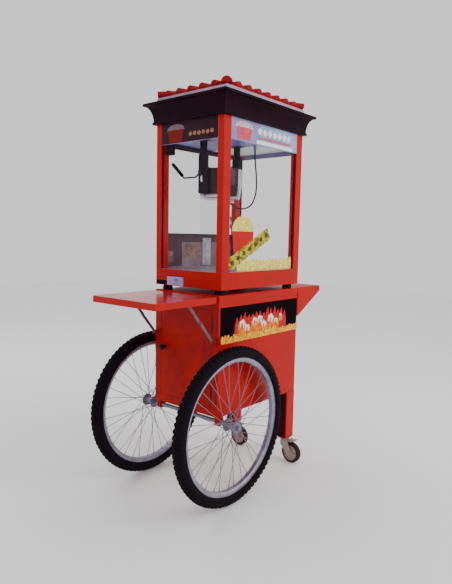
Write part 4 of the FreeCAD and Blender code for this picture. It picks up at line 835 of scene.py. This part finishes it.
def shade_strips():
    """Dark strips along the upright edges of the front and side panes, painted as the shade between
    the posts and the set-back glass.
    """
    low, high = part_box("front_glass")
    z0, z1 = low[2] + 0.0005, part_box("header_signs")[0][2] - 0.0005
    height, z = z1 - z0, (z0 + z1) / 2
    front, side = bmesh.new(), bmesh.new()
    for x in (low[0] + 0.006 + 0.0026, high[0] - 0.006 - 0.0026):
        add_block(front, Vector((x, low[1] - 0.0016, z)), UPRIGHT, (0.005, 0.003, height))
    low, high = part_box("side_glass")
    for y in (low[1] + 0.006 + 0.0021, high[1] - 0.006 - 0.0021):
        for x in (low[0] - 0.0016, high[0] + 0.0016):
            add_block(side, Vector((x, y, z)), UPRIGHT, (0.003, 0.004, height))
    for name, bm in (("front_shade_strips", front), ("side_shade_strips", side)):
        obj = from_bmesh(name, bm)
        paint(obj, M["shade_strip"])
        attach(obj, "cart")


shade_strips()
cart_graphic()
window_stickers()
sign_art()
sill_marks()
dark_faces()
duct()


# ---------------------------------------------------------------- small fixings
def heads(name, places, normal, radius, material, body="cart", height=None):
    """A set of rivet, screw or bolt heads on one face."""
    bm = bmesh.new()
    for at in places:
        add_dome(bm, at, normal, radius, height or radius * 0.45)
    obj = from_bmesh(name, bm, smooth=True)
    paint(obj, M[material])
    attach(obj, body)
    return obj


def fixings():
    """Rivets, screws and bolts, and the small label on the kettle's hanger."""
    low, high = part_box("side_panels")
    xs = [low[0] + 0.012 + (high[0] - low[0] - 0.024) * k / 6 for k in range(7)]
    for name, y, n in (("front", low[1], -1), ("rear", high[1], 1)):
        spots = [(x, y, low[2] + 0.012) for x in xs]
        heads(f"{name}_panel_rivets", spots, (0, n, 0), 0.0032, "red")
    frame_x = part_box("door_frame")[0][0]
    spots = [(frame_x, y, z) for y in (-0.178, 0.178) for z in (0.375, 0.52, 0.80)]
    heads("frame_rivets", spots, (-1, 0, 0), 0.0030, "red")
    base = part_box("machine_base")[0]
    spots = [(x, base[1], 0.944) for x in (-0.195, 0.0655, 0.326)]
    heads("base_screws", spots, (0, -1, 0), 0.0032, "red")
    spots = [(base[0], y, 0.944) for y in (-0.17, 0.17)]
    heads("base_screws_end", spots, (-1, 0, 0), 0.0032, "red")
    post_low, post_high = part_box("corner_posts")
    for name, y, n in (("front", post_low[1], -1), ("rear", post_high[1], 1)):
        xs = (post_low[0] + 0.023, post_high[0] - 0.023)
        spots = [(x, y, z) for x in xs for z in (0.966, 1.566)]
        heads(f"{name}_post_screws", spots, (0, n, 0), 0.0032, "red")
    low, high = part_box("rear_sill")
    spots = [(x, high[1], z) for x in (low[0] + 0.012, high[0] - 0.012) for z in (0.975, 1.075)]
    heads("sill_screws", spots, (0, 1, 0), 0.003, "zinc")
    back = -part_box("header_signs")[0][1]
    spots = [(x, back, z) for x in (-0.155, 0.286) for z in (1.500, 1.566)]
    heads("switch_screws", spots, (0, 1, 0), 0.003, "zinc")
    axle_x = -0.193
    for name, y in (("front", -0.176), ("rear", 0.176)):
        spots = [(axle_x - 0.0205, y, 0.352), (axle_x + 0.027, y, 0.352)]
        heads(f"{name}_clamp_bolts", spots, (0, 0, -1), 0.0036, "zinc", height=0.003)
    outline = [(-0.006, 1.335), (0.004, 1.332), (0.007, 1.352), (-0.002, 1.362)]
    film("hanger_label", outline, end_face(-0.1333), "white")


fixings()


# ---------------------------------------------------------------- surroundings and light
def studio():
    """A pale floor, a white surround and two soft lights."""
    bm = bmesh.new()
    bmesh.ops.create_grid(bm, x_segments=1, y_segments=1, size=9.0)
    floor = from_bmesh("studio_floor", bm)
    paper = finish_for("floor_paper", (0.93, 0.93, 0.93), 0.9, vary=0.01, scale=1.0, bump=0.01,
                       specular=0.1)
    paint(floor, paper)
    world = bpy.data.worlds.new("studio")
    world.use_nodes = True
    background = next(n for n in world.node_tree.nodes if n.type == "BACKGROUND")
    background.inputs["Color"].default_value = (1.0, 1.0, 1.0, 1.0)
    background.inputs["Strength"].default_value = 1.0
    bpy.context.scene.world = world
    lights = (("key", (1.2, -3.4, 2.6), 2.4, 70.0), ("back", (-0.5, 3.4, 3.2), 2.5, 40.0))
    for name, at, size, power in lights:
        data = bpy.data.lights.new(name, "AREA")
        data.size = size
        data.energy = power
        light = bpy.data.objects.new(name, data)
        bpy.context.scene.collection.objects.link(light)
        light.location = at
        towards = Vector((0, 0, 0.95)) - Vector(at)
        light.rotation_euler = towards.to_track_quat("-Z", "Y").to_euler()


studio()
